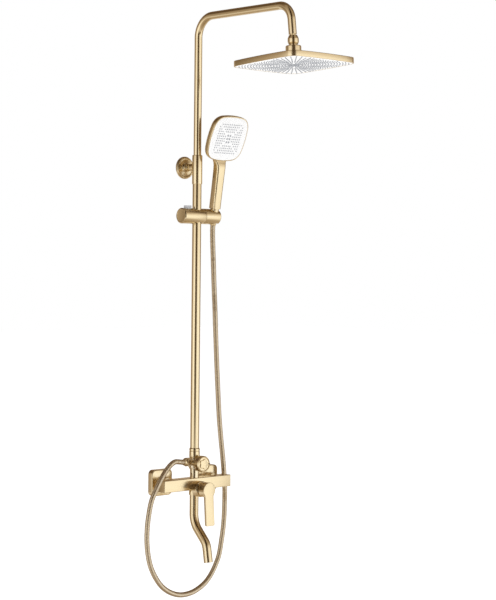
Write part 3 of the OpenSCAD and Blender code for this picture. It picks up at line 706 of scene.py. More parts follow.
class Repeat:
    """Geometry node trees for what repeats, and how they are applied."""

    @staticmethod
    def tree(name: str, inputs: dict[str, tuple[str, object]]) -> tuple:
        """Starts a geometry node tree with named inputs.

        Args:
            name: The tree's name.
            inputs: Each input's socket type and default.

        Returns:
            The tree, its input node, its output node and the identifiers of its inputs.
        """
        tree = bpy.data.node_groups.new(name, "GeometryNodeTree")
        tree.interface.new_socket(
            name="Geometry", in_out="INPUT", socket_type="NodeSocketGeometry"
        )
        ids = {}
        for label, (kind, value) in inputs.items():
            socket = tree.interface.new_socket(name=label, in_out="INPUT", socket_type=kind)
            if value is not None:
                socket.default_value = value
            ids[label] = socket.identifier
        tree.interface.new_socket(
            name="Geometry", in_out="OUTPUT", socket_type="NodeSocketGeometry"
        )
        return tree, tree.nodes.new("NodeGroupInput"), tree.nodes.new("NodeGroupOutput"), ids

    @staticmethod
    def applied(
        thing: bpy.types.Object, tree: bpy.types.NodeTree, values: dict[str, object]
    ) -> bpy.types.Mesh:
        """Runs a tree on an object and returns the plain mesh that it makes. The object goes."""
        bpy.context.scene.collection.objects.link(thing)
        modifier = thing.modifiers.new("repeat", "NODES")
        modifier.node_group = tree
        for identifier, value in values.items():
            modifier[identifier] = value
        mesh = evaluated_mesh(thing)
        bpy.data.objects.remove(thing)
        return mesh

    @staticmethod
    def studs(
        places: Sequence[Vector], tilt: Vector, radius: float, top: float, height: float,
        finish: Finish, sides: int = 10,
    ) -> bpy.types.Mesh:
        """Small round studs, all standing the same way, one at each place.

        Args:
            places: Where the feet of the studs are.
            tilt: Turn of every stud about X, Y and Z, in radians.
            radius: Radius of the foot.
            top: Radius of the tip.
            height: Height of a stud.
            finish: What the studs are made of.
            sides: How many sides a stud has.

        Returns:
            One mesh with every stud.
        """
        tree, given, out, ids = Repeat.tree(
            "Stud field",
            {
                "Foot radius": ("NodeSocketFloat", 1.0 * MM),
                "Tip radius": ("NodeSocketFloat", 0.7 * MM),
                "Height": ("NodeSocketFloat", 1.5 * MM),
                "Sides": ("NodeSocketInt", 10),
                "Turn": ("NodeSocketRotation", None),
                "Finish": ("NodeSocketMaterial", None),
            },
        )
        cone = tree.nodes.new("GeometryNodeMeshCone")
        links = tree.links
        links.new(given.outputs["Sides"], cone.inputs["Vertices"])
        links.new(given.outputs["Tip radius"], cone.inputs["Radius Top"])
        links.new(given.outputs["Foot radius"], cone.inputs["Radius Bottom"])
        links.new(given.outputs["Height"], cone.inputs["Depth"])
        stand = tree.nodes.new("GeometryNodeInstanceOnPoints")
        links.new(given.outputs["Geometry"], stand.inputs["Points"])
        links.new(cone.outputs["Mesh"], stand.inputs["Instance"])
        links.new(given.outputs["Turn"], stand.inputs["Rotation"])
        real = tree.nodes.new("GeometryNodeRealizeInstances")
        links.new(stand.outputs["Instances"], real.inputs["Geometry"])
        dress = tree.nodes.new("GeometryNodeSetMaterial")
        links.new(real.outputs["Geometry"], dress.inputs["Geometry"])
        links.new(given.outputs["Finish"], dress.inputs["Material"])
        links.new(dress.outputs["Geometry"], out.inputs["Geometry"])
        feet = bpy.data.meshes.new("feet")
        feet.from_pydata([tuple(p) for p in places], [], [])
        return Repeat.applied(
            bpy.data.objects.new("studs", feet),
            tree,
            {
                ids["Foot radius"]: radius,
                ids["Tip radius"]: top,
                ids["Height"]: height,
                ids["Sides"]: sides,
                ids["Turn"]: tuple(tilt),
                ids["Finish"]: finish.material(),
            },
        )

    @staticmethod
    def ribbed(
        line: Sequence[Vector], radius: float, pitch: float, depth: float, finish: Finish,
        sides: int = 18,
    ) -> bpy.types.Mesh:
        """A ribbed metal hose along a line.

        Args:
            line: The hose's centreline.
            radius: Its outer radius.
            pitch: Distance between two grooves.
            depth: Depth of a groove, as a share of the radius.
            finish: What the hose is made of.
            sides: How many sides the round has.

        Returns:
            The hose as one closed mesh.
        """
        tree, given, out, ids = Repeat.tree(
            "Ribbed hose",
            {
                "Radius": ("NodeSocketFloat", 6.5 * MM),
                "Pitch": ("NodeSocketFloat", 3.0 * MM),
                "Groove": ("NodeSocketFloat", 0.1),
                "Sides": ("NodeSocketInt", 18),
                "Finish": ("NodeSocketMaterial", None),
            },
        )
        nodes, links = tree.nodes, tree.links

        def maths(operation: str, a: object, b: object) -> bpy.types.NodeSocket:
            """One step of arithmetic between sockets or numbers."""
            node = nodes.new("ShaderNodeMath")
            node.operation = operation
            for socket, value in zip(node.inputs, (a, b)):
                if isinstance(value, bpy.types.NodeSocket):
                    links.new(value, socket)
                else:
                    socket.default_value = value
            return node.outputs["Value"]

        step = maths("DIVIDE", given.outputs["Pitch"], 4.0)
        spaced = nodes.new("GeometryNodeResampleCurve")
        spaced.mode = "LENGTH"
        links.new(given.outputs["Geometry"], spaced.inputs["Curve"])
        links.new(step, spaced.inputs["Length"])
        along = nodes.new("GeometryNodeSplineParameter")
        turns = maths("DIVIDE", along.outputs["Length"], given.outputs["Pitch"])
        wave = maths("COSINE", maths("MULTIPLY", turns, 2 * math.pi), 0.0)
        raised = maths("MULTIPLY", maths("ADD", wave, 1.0), 0.5)
        groove = maths("MULTIPLY", maths("POWER", raised, 2.0), given.outputs["Groove"])
        thick = nodes.new("GeometryNodeSetCurveRadius")
        links.new(spaced.outputs["Curve"], thick.inputs["Curve"])
        links.new(maths("SUBTRACT", 1.0, groove), thick.inputs["Radius"])
        ring = nodes.new("GeometryNodeCurvePrimitiveCircle")
        links.new(given.outputs["Sides"], ring.inputs["Resolution"])
        links.new(given.outputs["Radius"], ring.inputs["Radius"])
        skin = nodes.new("GeometryNodeCurveToMesh")
        skin.inputs["Fill Caps"].default_value = True
        links.new(thick.outputs["Curve"], skin.inputs["Curve"])
        links.new(ring.outputs["Curve"], skin.inputs["Profile Curve"])
        if "Scale" in skin.inputs:
            width = nodes.new("GeometryNodeInputRadius")
            links.new(width.outputs["Radius"], skin.inputs["Scale"])
        real = nodes.new("GeometryNodeRealizeInstances")
        links.new(skin.outputs["Mesh"], real.inputs["Geometry"])
        dress = nodes.new("GeometryNodeSetMaterial")
        links.new(real.outputs["Geometry"], dress.inputs["Geometry"])
        links.new(given.outputs["Finish"], dress.inputs["Material"])
        links.new(dress.outputs["Geometry"], out.inputs["Geometry"])
        curve = bpy.data.curves.new("centreline", "CURVE")
        curve.dimensions = "3D"
        spline = curve.splines.new("POLY")
        spline.points.add(len(line) - 1)
        for point, place in zip(spline.points, line):
            point.co = (*place, 1.0)
        return Repeat.applied(
            bpy.data.objects.new("hose", curve),
            tree,
            {
                ids["Radius"]: radius,
                ids["Pitch"]: pitch,
                ids["Groove"]: depth,
                ids["Sides"]: sides,
                ids["Finish"]: finish.material(),
            },
        )


# ---- the hose ----


@dataclass
class Hose:
    """The ribbed metal hose, from the diverter round its loop and up to the hand shower."""

    diameter: float = 13.0 * MM
    pitch: float = 3.0 * MM
    groove: float = 0.11
    spacing: float = 4.0 * MM
    loop: tuple[Corner, ...] = (
        (-36, -49, 50), (-50, -49, 52), (-63, -49, 53), (-77, -50, 47), (-92, -51, 35),
        (-111, -57, 19), (-126, -60, 1), (-147, -62, -33), (-156, -62, -68), (-160, -62, -97),
        (-161, -62, -128), (-157, -62, -162), (-147, -61, -194), (-129, -60, -224),
        (-107, -58, -247), (-79, -56, -264), (-45, -53, -274), (-10, -50, -274),
        (19, -47, -267), (46, -44, -254), (67, -42, -235), (84, -40, -212), (95, -38, -192),
        (106, -35, -155), (113, -33, -125), (117.5, -31, -95), (119.5, -30, -60),
    )
    rise: tuple[Corner, ...] = (
        (119.5, -30, -60), (119.5, -30, -30), (117.5, -30, 0), (111.5, -31, 45), (102.5, -33, 95),
        (93, -36, 150), (85.5, -39, 210), (79, -41, 275), (72.5, -43, 350), (67, -45, 420),
    )
    bend: tuple[Corner, ...] = (
        (67, -45, 420), (64.5, -45.5, 450), (62, -46, 482), (60, -46.3, 514), (58, -46.7, 545),
    )
    top: tuple[Corner, ...] = (
        (58, -46.7, 545), (56, -47, 575), (54, -47.8, 602), (53, -48.6, 620),
    )

    def stretch(
        self, name: str, route: Sequence[Vector], bodies: tuple[str, ...], ends: list[bpy.types.Object]
    ) -> None:
        """One stretch of the hose, declared as a cord.

        Args:
            name: The CAD node that it stands for.
            route: The points it follows.
            bodies: The body it rides on, or the two it bends between.
            ends: The fittings at its start that belong to it; not used.
        """
        line = smooth_route(route, self.spacing)
        mesh = Repeat.ribbed(line, self.diameter / 2, self.pitch, self.groove, GOLD_HOSE)
        piece = Piece(f"hose_{name}", " and ".join(bodies), (f"hose_{name}",), "hose_metal", 70)
        if len(bodies) == 1:
            made = piece.made(mesh, GOLD_HOSE)
        else:
            made = piece.loose(mesh, GOLD_HOSE)
            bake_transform(made)

    def build(self) -> None:
        """Makes the nut at the diverter, then the four stretches."""
        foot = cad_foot()
        ends = Diverter().hose_nut()
        routes = {
            "loop": (self.loop, ("root",)),
            "rise": (self.rise, ("root", "slider")),
            "bend": (self.bend, ("slider", "holder")),
            "top": (self.top, ("holder", "hand_shower")),
        }
        for name, (route, bodies) in routes.items():
            points = [Vector(p) * MM for p in route]
            if name == "top":
                points.append(foot)
            self.stretch(name, points, bodies, ends if name == "loop" else [])


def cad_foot() -> Vector:
    """Where the hose meets the hand shower: the middle of its cone's lower end."""
    hand = HandShower()
    return hand.handle_place() @ Vector((0, 0, hand.cone_low))


# ---- small shared shapes ----


def easing(height: float, radius: float, steps: int = 3) -> list[tuple[float, float]]:
    """Insets and heights of a quarter round that ends a slab at a height."""
    angles = (math.pi / 2 * k / steps for k in range(steps + 1))
    return [(radius * (1 - math.cos(a)), height - radius + radius * math.sin(a)) for a in angles]


def eased_levels(low: float, high: float, radius: float, steps: int = 3) -> list[tuple[float, float]]:
    """Insets and heights of a slab with both its edges rounded."""
    foot = [(inset, low + high - z) for inset, z in easing(high, radius, steps)]
    return foot[::-1] + easing(high, radius, steps)


def round_ring(outline: Sequence[tuple[float, float]], radius: float) -> list[tuple[float, float]]:
    """A circle with one point for each point of an outline, in the same directions."""
    angles = (math.atan2(y, x) for x, y in outline)
    return [(radius * math.cos(a), radius * math.sin(a)) for a in angles]


def tube_ring(outer: float, bore: float, low: float, high: float, ease: float) -> list[Corner]:
    """Closed profile of a plain ring or sleeve."""
    return [(bore, low, ease), (outer, low, ease), (outer, high, ease), (bore, high, ease)]


# ---- mixer ----


@dataclass
class MixerBar:
    """Wall plates, union nuts, the bar with its cartridge housing, and the swivel spout."""

    plate_corner: float = 11 * MM
    plate_ease: float = 2.2 * MM
    plate_wall: float = 2 * MM
    plate_hole: float = 13.5 * MM
    nut_flats: float = 32 * MM
    bar_height: float = 29 * MM
    bar_depth: float = 30 * MM
    housing_radius: float = 19.5 * MM
    recess_radius: float = 16.6 * MM
    recess_depth: float = 6 * MM
    spout_radius: float = 11 * MM
    spout_wall: float = 1.5 * MM
    spout_bend: float = 45.0
    spout_tail: float = 10.0
    spout_curves: tuple[float, float] = (55 * MM, 35 * MM)
    spout_reach: float = 55 * MM
    spout_mouth: float = 34 * MM
    spout_drop: float = 60 * MM
    riser_y: float = field(default_factory=lambda: Box.of("lower_tube").centre.y)
    hub_z: float = field(default_factory=lambda: Box.of("cartridge_ring").centre.z)

    def build(self) -> None:
        """Makes every piece of the mixer but its lever."""
        for side in ("left", "right"):
            self.plate(side)
        self.nuts()
        self.bar()
        self.spout()

    def plate(self, side: str) -> None:
        """One square wall plate: a hollow cover with a round hole for the union."""
        node = f"wall_plate_{side}"
        box = Box.of(node)
        depth = box.size.y
        place = facing(Vector((box.centre.x, 0, box.centre.z)), ROOM)
        outline = rounded_rect(box.size.x, box.size.z, self.plate_corner, 8)
        levels = [(0.4 * MM, 0.0), (0.0, 0.4 * MM), *easing(depth, self.plate_ease, 4)]
        rings = [[place @ Vector((x, y, z)) for x, y in outline(i)] for i, z in levels]
        hole = round_ring(outline(0), self.plate_hole)
        for z in (depth, depth - self.plate_wall):
            rings.append([place @ Vector((x, y, z)) for x, y in hole])
        for z in (depth - self.plate_wall, 0.0):
            rings.append([place @ Vector((x, y, z)) for x, y in outline(self.plate_wall)])
        Piece(f"{node}_cover", "root", (node,)).made(
            shaped(Form().skin(rings, looped=True)), GOLD_LEVEL
        )

    def nuts(self) -> None:
        """The two chamfered hexagon nuts that hold the bar to its unions."""
        both = Box.of("union_nuts")
        bore = Box.of("union_left").size.x / 2
        meshes = []
        for node in ("union_left", "union_right"):
            x = Box.of(node).centre.x
            place = facing(Vector((x, both.high.y, both.centre.z)), ROOM)
            length, tip = both.size.y, self.nut_flats / math.sqrt(3)
            flats = [(tip * math.sin(math.pi / 3 * k), tip * math.cos(math.pi / 3 * k)) for k in range(6)]
            hexagon = Form().skin([[place @ Vector((u, v, z)) for u, v in flats] for z in (0, length)])
            low, cut = self.nut_flats / 2 + 0.1 * MM, 1.5 * MM
            barrel = Form().turned(
                place, [(0, 0, 0), (low, 0, 0), (tip + 0.1 * MM, cut, 0),
                        (tip + 0.1 * MM, length - cut, 0), (low, length, 0), (0, length, 0)],
            )
            through = Form().turned(place, [(0, -MM, 0), (bore, -MM, 0), (bore, 30 * MM, 0), (0, 30 * MM, 0)])
            cuts = [(Cut.KEEP_COMMON, barrel), (Cut.REMOVE, through)]
            meshes.append(shaped(hexagon, cuts, 0.3 * MM))
        Piece("union_nut_pair", "root", ("union_nuts",)).made(joined(meshes), GOLD_FRONT)

    def bar(self) -> None:
        """The bar with its cartridge housing, as one casting."""
        box = Box.of("mixer_body")
        middle = box.high.z - self.bar_height / 2
        front = self.riser_y - self.bar_depth / 2
        place = facing(Vector((box.low.x, self.riser_y, middle)), RIGHT)
        bar = Form().slab(
            place, rounded_rect(self.bar_depth, self.bar_height, 1.6 * MM, 4),
            eased_levels(0, box.size.x, 0.9 * MM),
        )
        reach = front + MM - box.low.y
        floor = reach - self.recess_depth
        housing = Form().turned(
            facing(Vector((0, front + MM, self.hub_z)), ROOM),
            [(0, 0, 0), (self.housing_radius, 0, 0), (self.housing_radius, reach - 2.5 * MM, MM),
             (self.housing_radius - 2.3 * MM, reach, 0.5 * MM), (self.recess_radius, reach, 0.3 * MM),
             (self.recess_radius, floor, 0), (0, floor, 0)],
            96,
        )
        Piece("mixer_casting", "root", ("mixer_body",)).made(
            shaped(bar, [(Cut.ADD, housing)]), GOLD_LEVEL
        )
        # The cartridge ring gets the lighter polished gold, partly a real polished finish and partly a painted
        # highlight for the bright ring round the housing.
        for node, finish in (("cartridge_ring", GOLD_POLISHED_HIGHLIGHT), ("cartridge_turntable", GREY)):
            dress(node, finish)

    def spout(self) -> None:
        """The swivel spout: an S-bent tube with its collar."""
        box = Box.of("spout")
        bend, tail = math.radians(self.spout_bend), math.radians(self.spout_tail)
        upper, lower = self.spout_curves
        slant = (
            self.spout_reach - upper * (1 - math.cos(bend)) - self.spout_mouth * math.sin(tail)
            - lower * (math.cos(tail) - math.cos(bend))
        ) / math.sin(bend)
        start = Vector((0, self.riser_y, box.high.z))
        bar_low = Box.of("mixer_body").high.z - self.bar_height
        knee = upper * math.tan(bend / 2)
        ankle = lower * math.tan((bend - tail) / 2)
        first = Vector((0, self.riser_y, bar_low - self.spout_drop - knee))
        second = first - Vector((0, math.sin(bend), math.cos(bend))) * (knee + slant + ankle)
        mouth = second - Vector((0, math.sin(tail), math.cos(tail))) * (ankle + self.spout_mouth)
        line = eased([(start, 0), (first, upper), (second, lower), (mouth, 0)], 14)
        tube = Form().tube(line, self.spout_radius, self.spout_radius - self.spout_wall, 48)
        Piece("spout_tube", "spout", ("spout",), "gold_steel_tube").made(shaped(tube), GOLD_TUBE)
        ring = Box.of("spout_collar")
        collar = Form().turned(
            level(0, self.riser_y, ring.low.z),
            tube_ring(ring.size.x / 2, self.spout_radius + 0.05 * MM, 0, ring.size.z, 0.8 * MM),
            looped=True,
        )
        Piece("spout_swivel_collar", "spout", ("spout_collar",)).made(shaped(collar), GOLD_TUBE)


def joined(meshes: Sequence[bpy.types.Mesh]) -> bpy.types.Mesh:
    """Several meshes as one."""
    bm = bmesh.new()
    for mesh in meshes:
        bm.from_mesh(mesh)
    made = bpy.data.meshes.new("joined")
    bm.to_mesh(made)
    bm.free()
    return made


def dress(node: str, finish: Finish) -> None:
    """Gives a CAD node that stays in sight, or inside, its finish."""
    mesh = frame["nodes"][node].data
    mesh.materials.clear()
    mesh.materials.append(finish.material())
    log.info("%s keeps its own shape, in %s", node, finish.name)


# ---- lever ----


@dataclass
class Lever:
    """The lever: a round hub with a flat paddle hanging from its front."""

    paddle_width: float = 27 * MM
    paddle_thickness: float = 6.5 * MM
    lean: float = 4.0
    fillet: float = 8 * MM
    corner: float = 3 * MM
    dot_radius: float = 0.9 * MM
    dot_x: float = 11.5 * MM
    dot_z: float = 10.5 * MM
    hub_length: float = 23 * MM

    def outline(self, hub: float, length: float, inset: float) -> list[tuple[float, float]]:
        """Front outline: the hub's circle flowing through two hollow fillets into the paddle.

        Args:
            hub: Radius of the hub.
            length: Distance from the hub's centre to the paddle's tip.
            inset: How far the outline is moved inwards.

        Returns:
            Its points, anticlockwise from the right-hand fillet.
        """
        r, half, hollow = hub - inset, self.paddle_width / 2 - inset, self.fillet + inset
        drop = math.sqrt((r + hollow) ** 2 - (half + hollow) ** 2)
        touch = math.atan2(-drop, half + hollow)
        steps = 40
        points = [
            (r * math.cos(a), r * math.sin(a))
            for a in (touch + (math.pi - 2 * touch) * k / steps for k in range(steps + 1))
        ]
        bend = math.pi + touch
        left = [
            (-(half + hollow) + hollow * math.cos(a), -drop + hollow * math.sin(a))
            for a in ((math.pi - bend) * (1 - k / 6) for k in range(1, 7))
        ]
        low, c = inset - length, max(self.corner - inset, 0.3 * MM)
        tip = [
            (-half + c - c * math.cos(a), low + c - c * math.sin(a))
            for a in (math.pi / 2 * k / 4 for k in range(5))
        ]
        right = [(-x, y) for x, y in (left + tip)[::-1]]
        return points + left + tip + right

    def build(self) -> None:
        """Makes the lever in one casting, with its two marks."""
        box = Box.of("lever_handle")
        spindle = Box.of("lever_spindle")
        centre = Vector((0, 0, spindle.centre.z))
        hub = box.size.x / 2
        length = spindle.centre.z - box.low.z
        lean = math.tan(math.radians(self.lean))
        back = box.high.y
        front = back - self.hub_length
        place = facing(centre + Vector((0, front + self.paddle_thickness, 0)), ROOM)
        levels = eased_levels(0, self.paddle_thickness, 0.9 * MM, 3)
        blade = Form()
        rings = [
            [place @ Vector((x, y, z)) for x, y in self.outline(hub, length, i)] for i, z in levels
        ]
        for ring in rings:
            for p in ring:
                p.y -= max(0.0, centre.z - 14 * MM - p.z) * lean
        blade.skin(rings)
        stem = Form().turned(
            facing(centre + Vector((0, back, 0)), ROOM),
            [(0, 0, 0), (hub - 6 * MM, 0, 0.6 * MM), (hub - 0.2 * MM, 3 * MM, 1.5 * MM),
             (hub - 0.2 * MM, 21 * MM, 0.5 * MM), (0, 21 * MM, 0)],
            96,
        )
        Piece("lever_casting", "lever", ("lever_handle",)).made(
            shaped(blade, [(Cut.ADD, stem)]), GOLD_FRONT
        )
        feet = [centre + Vector((s * self.dot_x, front + 0.2 * MM, self.dot_z)) for s in (-1, 1)]
        marks = Repeat.studs(
            feet, Vector((math.pi / 2, 0, 0)), self.dot_radius, 0.7 * self.dot_radius, 0.35 * MM, DARK, 16
        )
        Piece("lever_marks", "lever").made(marks, DARK)


# ---- diverter ----


@dataclass
class Diverter:
    """The rotary diverter: its body, its knob and the hose nut on its outlet."""

    body_radius: float = 13.5 * MM
    barrel_radius: float = 13 * MM
    boss_radius: float = 12.2 * MM
    boss_waist: float = 1.5 * MM
    lobes: int = 5
    rim: float = 3.2 * MM
    recess: float = 2.4 * MM

    def build(self) -> None:
        """Makes the pieces of the diverter but the hose nut, which belongs to the hose."""
        self.body()
        self.knob()

    def body(self) -> None:
        """Upright body with a barrel towards the room and a stub to the left."""
        box = Box.of("diverter_body")
        riser_y = Box.of("lower_tube").centre.y
        axis_z = Box.of("diverter_knob").centre.z
        nut = Box.of("outlet_hose_nut")
        low, top = axis_z - 14 * MM, Box.of("riser_nut").low.z
        upright = Form().turned(
            level(0, riser_y, low),
            [(0, 0, 0), (self.body_radius, 0, 0.8 * MM), (self.body_radius, top - low, 0.8 * MM), (0, top - low, 0)],
        )
        length = riser_y + 15 * MM - box.low.y
        barrel = Form().turned(
            facing(Vector((0, riser_y + 15 * MM, axis_z)), ROOM),
            [(0, 0, 0), (self.barrel_radius, 0, MM), (self.barrel_radius, length, MM), (0, length, 0)],
        )
        stub = Form().turned(
            facing(Vector((0, riser_y, nut.centre.z)), -RIGHT),
            [(0, 0, 0), (9.5 * MM, 0, 0), (9.5 * MM, 16 * MM, 0.6 * MM), (7.4 * MM, 17 * MM, 0),
             (7.4 * MM, 22 * MM, 0), (0, 22 * MM, 0)],
        )
        Piece("diverter_casting", "root", ("diverter_body",)).made(
            shaped(upright, [(Cut.ADD, barrel), (Cut.ADD, stub)], 0.5 * MM), GOLD_EVEN
        )
        dress("riser_nipple", GOLD_TUBE)

    def knob(self) -> None:
        """Round knob: a bright bevelled rim round a recess with a lobed boss."""
        box = Box.of("diverter_knob")
        place = facing(Vector((0, box.high.y, box.centre.z)), ROOM)
        radius, length = box.size.x / 2, box.size.y
        floor = length - self.recess
        dish = radius - self.rim - 0.6 * MM
        cup = Form().turned(
            place,
            [(0, 0, 0), (radius - 3 * MM, 0, MM), (radius, 3 * MM, 1.5 * MM),
             (radius, length - 3.4 * MM, MM), (radius - 1.6 * MM, length - 0.4 * MM, 0.8 * MM),
             (radius - self.rim, length, 0.5 * MM), (dish, floor, 0.8 * MM), (0, floor, 0)],
            96,
        )
        count = 60

        def lobed(inset: float) -> list[tuple[float, float]]:
            """The boss's outline, with its waists between the lobes."""
            turns = (2 * math.pi * k / count for k in range(count))
            return [
                (r * math.cos(a), r * math.sin(a))
                for a, r in ((a, self.boss_radius - inset + self.boss_waist * math.cos(self.lobes * a))
                             for a in turns)
            ]

        boss = Form().slab(place, lobed, [(0, floor - 2 * MM), *easing(length - 0.3 * MM, 1.4 * MM, 3)])
        Piece("diverter_handwheel", "diverter_knob", ("diverter_knob",)).made(
            shaped(cup, [(Cut.ADD, boss)]), GOLD_FRONT
        )
        mark = place @ Vector((radius - 2.4 * MM, 0, length - 0.5 * MM))
        Piece("diverter_mark", "diverter_knob").made(
            Repeat.studs([mark], Vector((math.pi / 2, 0, 0)), 1.5 * MM, 1.2 * MM, 0.5 * MM, DARK, 20), DARK
        )
        dress("knob_screw", GOLD_POLISHED_HIGHLIGHT)

    def hose_nut(self) -> list[bpy.types.Object]:
        """Hose nut: a fluted ring, then a flare down to the hose's sleeve.

        Returns:
            Its pieces.
        """
        box = Box.of("outlet_hose_nut")
        start = Vector((box.high.x, box.centre.y, box.centre.z))
        place = facing(start, -RIGHT)
        big, hose = box.size.z / 2, Hose.diameter / 2
        length = box.size.x
        nut = Form().turned(
            place,
            [(7.6 * MM, 0, 0.3 * MM), (big - 0.6 * MM, 0, 0.6 * MM), (big - 0.6 * MM, 11 * MM, 0.3 * MM),
             (big, 11.4 * MM, 0.3 * MM), (big, 13.2 * MM, 0.4 * MM), (hose + 2.4 * MM, 15 * MM, MM),
             (hose + MM, length - 0.4 * MM, 0.5 * MM), (5 * MM, length - 0.4 * MM, 0),
             (5 * MM, length - 4 * MM, 0), (7.6 * MM, length - 11 * MM, 0)],
            72, looped=True,
        )
        ring = Piece("hose_nut_ring", "root", ("outlet_hose_nut",)).made(shaped(nut), GOLD_ACROSS)
        count = 28
        flutes = Form()
        for k in range(count):
            turn = 2 * math.pi * k / count
            inner = place @ Vector(((big - 0.7 * MM) * math.cos(turn), (big - 0.7 * MM) * math.sin(turn), 1.2 * MM))
            flutes.tube([inner, inner + place.to_3x3() @ Vector((0, 0, 9 * MM))], 0.7 * MM, 0, 8, 0.3 * MM)
        return [ring, Piece("hose_nut_flutes", "root").made(flutes.mesh(), GOLD_ACROSS)]


# ---- riser ----


@dataclass
class Riser:
    """The lower tube between its nut and the collar, and the bracket that holds it."""

    dish: float = 1.0 * MM
    neck_radius: float = 9 * MM
    seam: float = 0.35 * MM

    def build(self) -> None:
        """Makes the nut, tube, collar, flange and arm."""
        tube = Box.of("lower_tube")
        y, radius = tube.centre.y, tube.size.x / 2
        nut = Box.of("riser_nut")
        height, big = nut.size.z, nut.size.x / 2
        profile = [
            (10.1 * MM, 0, 0), (big - 1.2 * MM, 0, 0.4 * MM), (big, 1.6 * MM, 0.6 * MM),
            (big, height * 0.66, 0.3 * MM), (big - 0.8 * MM, height * 0.69, 0.2 * MM),
            (big - 0.8 * MM, height * 0.72, 0.2 * MM), (big, height * 0.75, 0.3 * MM),
            (big, height - 2.2 * MM, 0.8 * MM), (radius + 0.5 * MM, height, 0.4 * MM),
            (radius + 0.05 * MM, height, 0), (radius + 0.05 * MM, 9 * MM, 0), (10.1 * MM, 9 * MM, 0),
        ]
        Piece("riser_union_nut", "root", ("riser_nut",)).made(
            shaped(Form().turned(level(0, y, nut.low.z), profile, looped=True)), GOLD_TUBE
        )
        pipe = Form().turned(
            level(0, y, tube.low.z), tube_ring(radius, radius - 1.2 * MM, 0, tube.size.z, 0.3 * MM),
            72, looped=True,
        )
        Piece("lower_riser_tube", "root", ("lower_tube",), "gold_steel_tube").made(shaped(pipe), GOLD_TUBE)
        self.collar(y, tube)
        self.bracket(y)

    def collar(self, y: float, tube: Box) -> None:
        """The long collar over the joint between the two tubes."""
        box = Box.of("riser_collar")
        big, top = box.size.x / 2, box.size.z
        low, thin = tube.size.x / 2 + 0.05 * MM, Box.of("upper_tube").size.x / 2 + 0.05 * MM
        step = tube.high.z - box.low.z
        sleeve = Form().turned(
            level(0, y, box.low.z),
            [(low, 0, 0.2 * MM), (big, 0, 0.5 * MM), (big, top, 1.6 * MM), (thin, top, 0.2 * MM),
             (thin, step, 0), (low, step, 0)],
            72, looped=True,
        )
        Piece("riser_joint_collar", "root", ("riser_collar",)).made(shaped(sleeve), GOLD_TUBE)

    def bracket(self, y: float) -> None:
        """Dished wall flange with its neck, and the arm beyond the seam."""
        box = Box.of("wall_flange")
        big, depth = box.size.x / 2, -box.low.y
        bore, cavity, wall = 6.1 * MM, 22.6 * MM, 5.2 * MM
        place = facing(Vector((0, 0, box.centre.z)), ROOM)
        neck = self.neck_radius
        flange = Form().turned(
            place,
            [(cavity, 0, 0), (big, 0, 0.4 * MM), (big, 4.2 * MM, 0.8 * MM), (big - 2.2 * MM, 7 * MM, MM),
             (big - 4.5 * MM, 7 * MM, 0.8 * MM), (big - 7.5 * MM, 6.1 * MM, 2 * MM),
             (neck + 3 * MM, 7 * MM, 2 * MM), (neck, 10.5 * MM, 2.5 * MM), (neck, depth - self.seam, 0.7 * MM),
             (bore, depth - self.seam, 0), (bore, wall, 0), (cavity, wall, 0)],
            96, looped=True,
        )
        Piece("wall_flange_dish", "root", ("wall_flange",)).made(shaped(flange), GOLD_FRONT)
        arm = Box.of("bracket_arm")
        start = facing(Vector((0, arm.high.y - self.seam, arm.centre.z)), ROOM)
        reach = arm.high.y - self.seam - (y + 10.8 * MM)
        rod = Form().turned(start, tube_ring(neck, bore, 0, reach, 0.7 * MM), looped=True)
        Piece("bracket_rod", "root", ("bracket_arm",)).made(shaped(rod), GOLD_FRONT)
        dress("bracket_base", STEEL)


# ---- rain arm and head ----


@dataclass
class RainArm:
    """The upper tube with its two bends, and the ball joint at its end."""

    first_bend: float = 50 * MM
    second_bend: float = 48 * MM
    wall: float = 1.2 * MM
    lean: float = 7.0
    tube_stop: float = 13 * MM

    def build(self) -> None:
        """Makes the tube and dresses the ball joint."""
        box = Box.of("upper_tube")
        radius = box.size.x / 2
        riser_y = Box.of("lower_tube").centre.y
        ball = Vector(joint("head_spin")["pos_m"])
        top = box.high.z - radius
        lean = math.radians(self.lean)
        up = Vector((0, math.sin(lean), math.cos(lean)))
        foot = ball + up * self.tube_stop
        knee = foot + up * ((top - foot.z) / up.z)
        line = eased(
            [(Vector((0, riser_y, box.low.z)), 0), (Vector((0, riser_y, top)), self.first_bend),
             (knee, self.second_bend), (foot, 0)],
            20,
        )
        tube = Form().tube(line, radius, radius - self.wall, 48)
        Piece("rain_arm_tube", "rain_arm", ("upper_tube",), "gold_steel_tube").made(shaped(tube), GOLD_TUBE)
        dress("ball_nipple", GOLD_POLISHED_HIGHLIGHT)


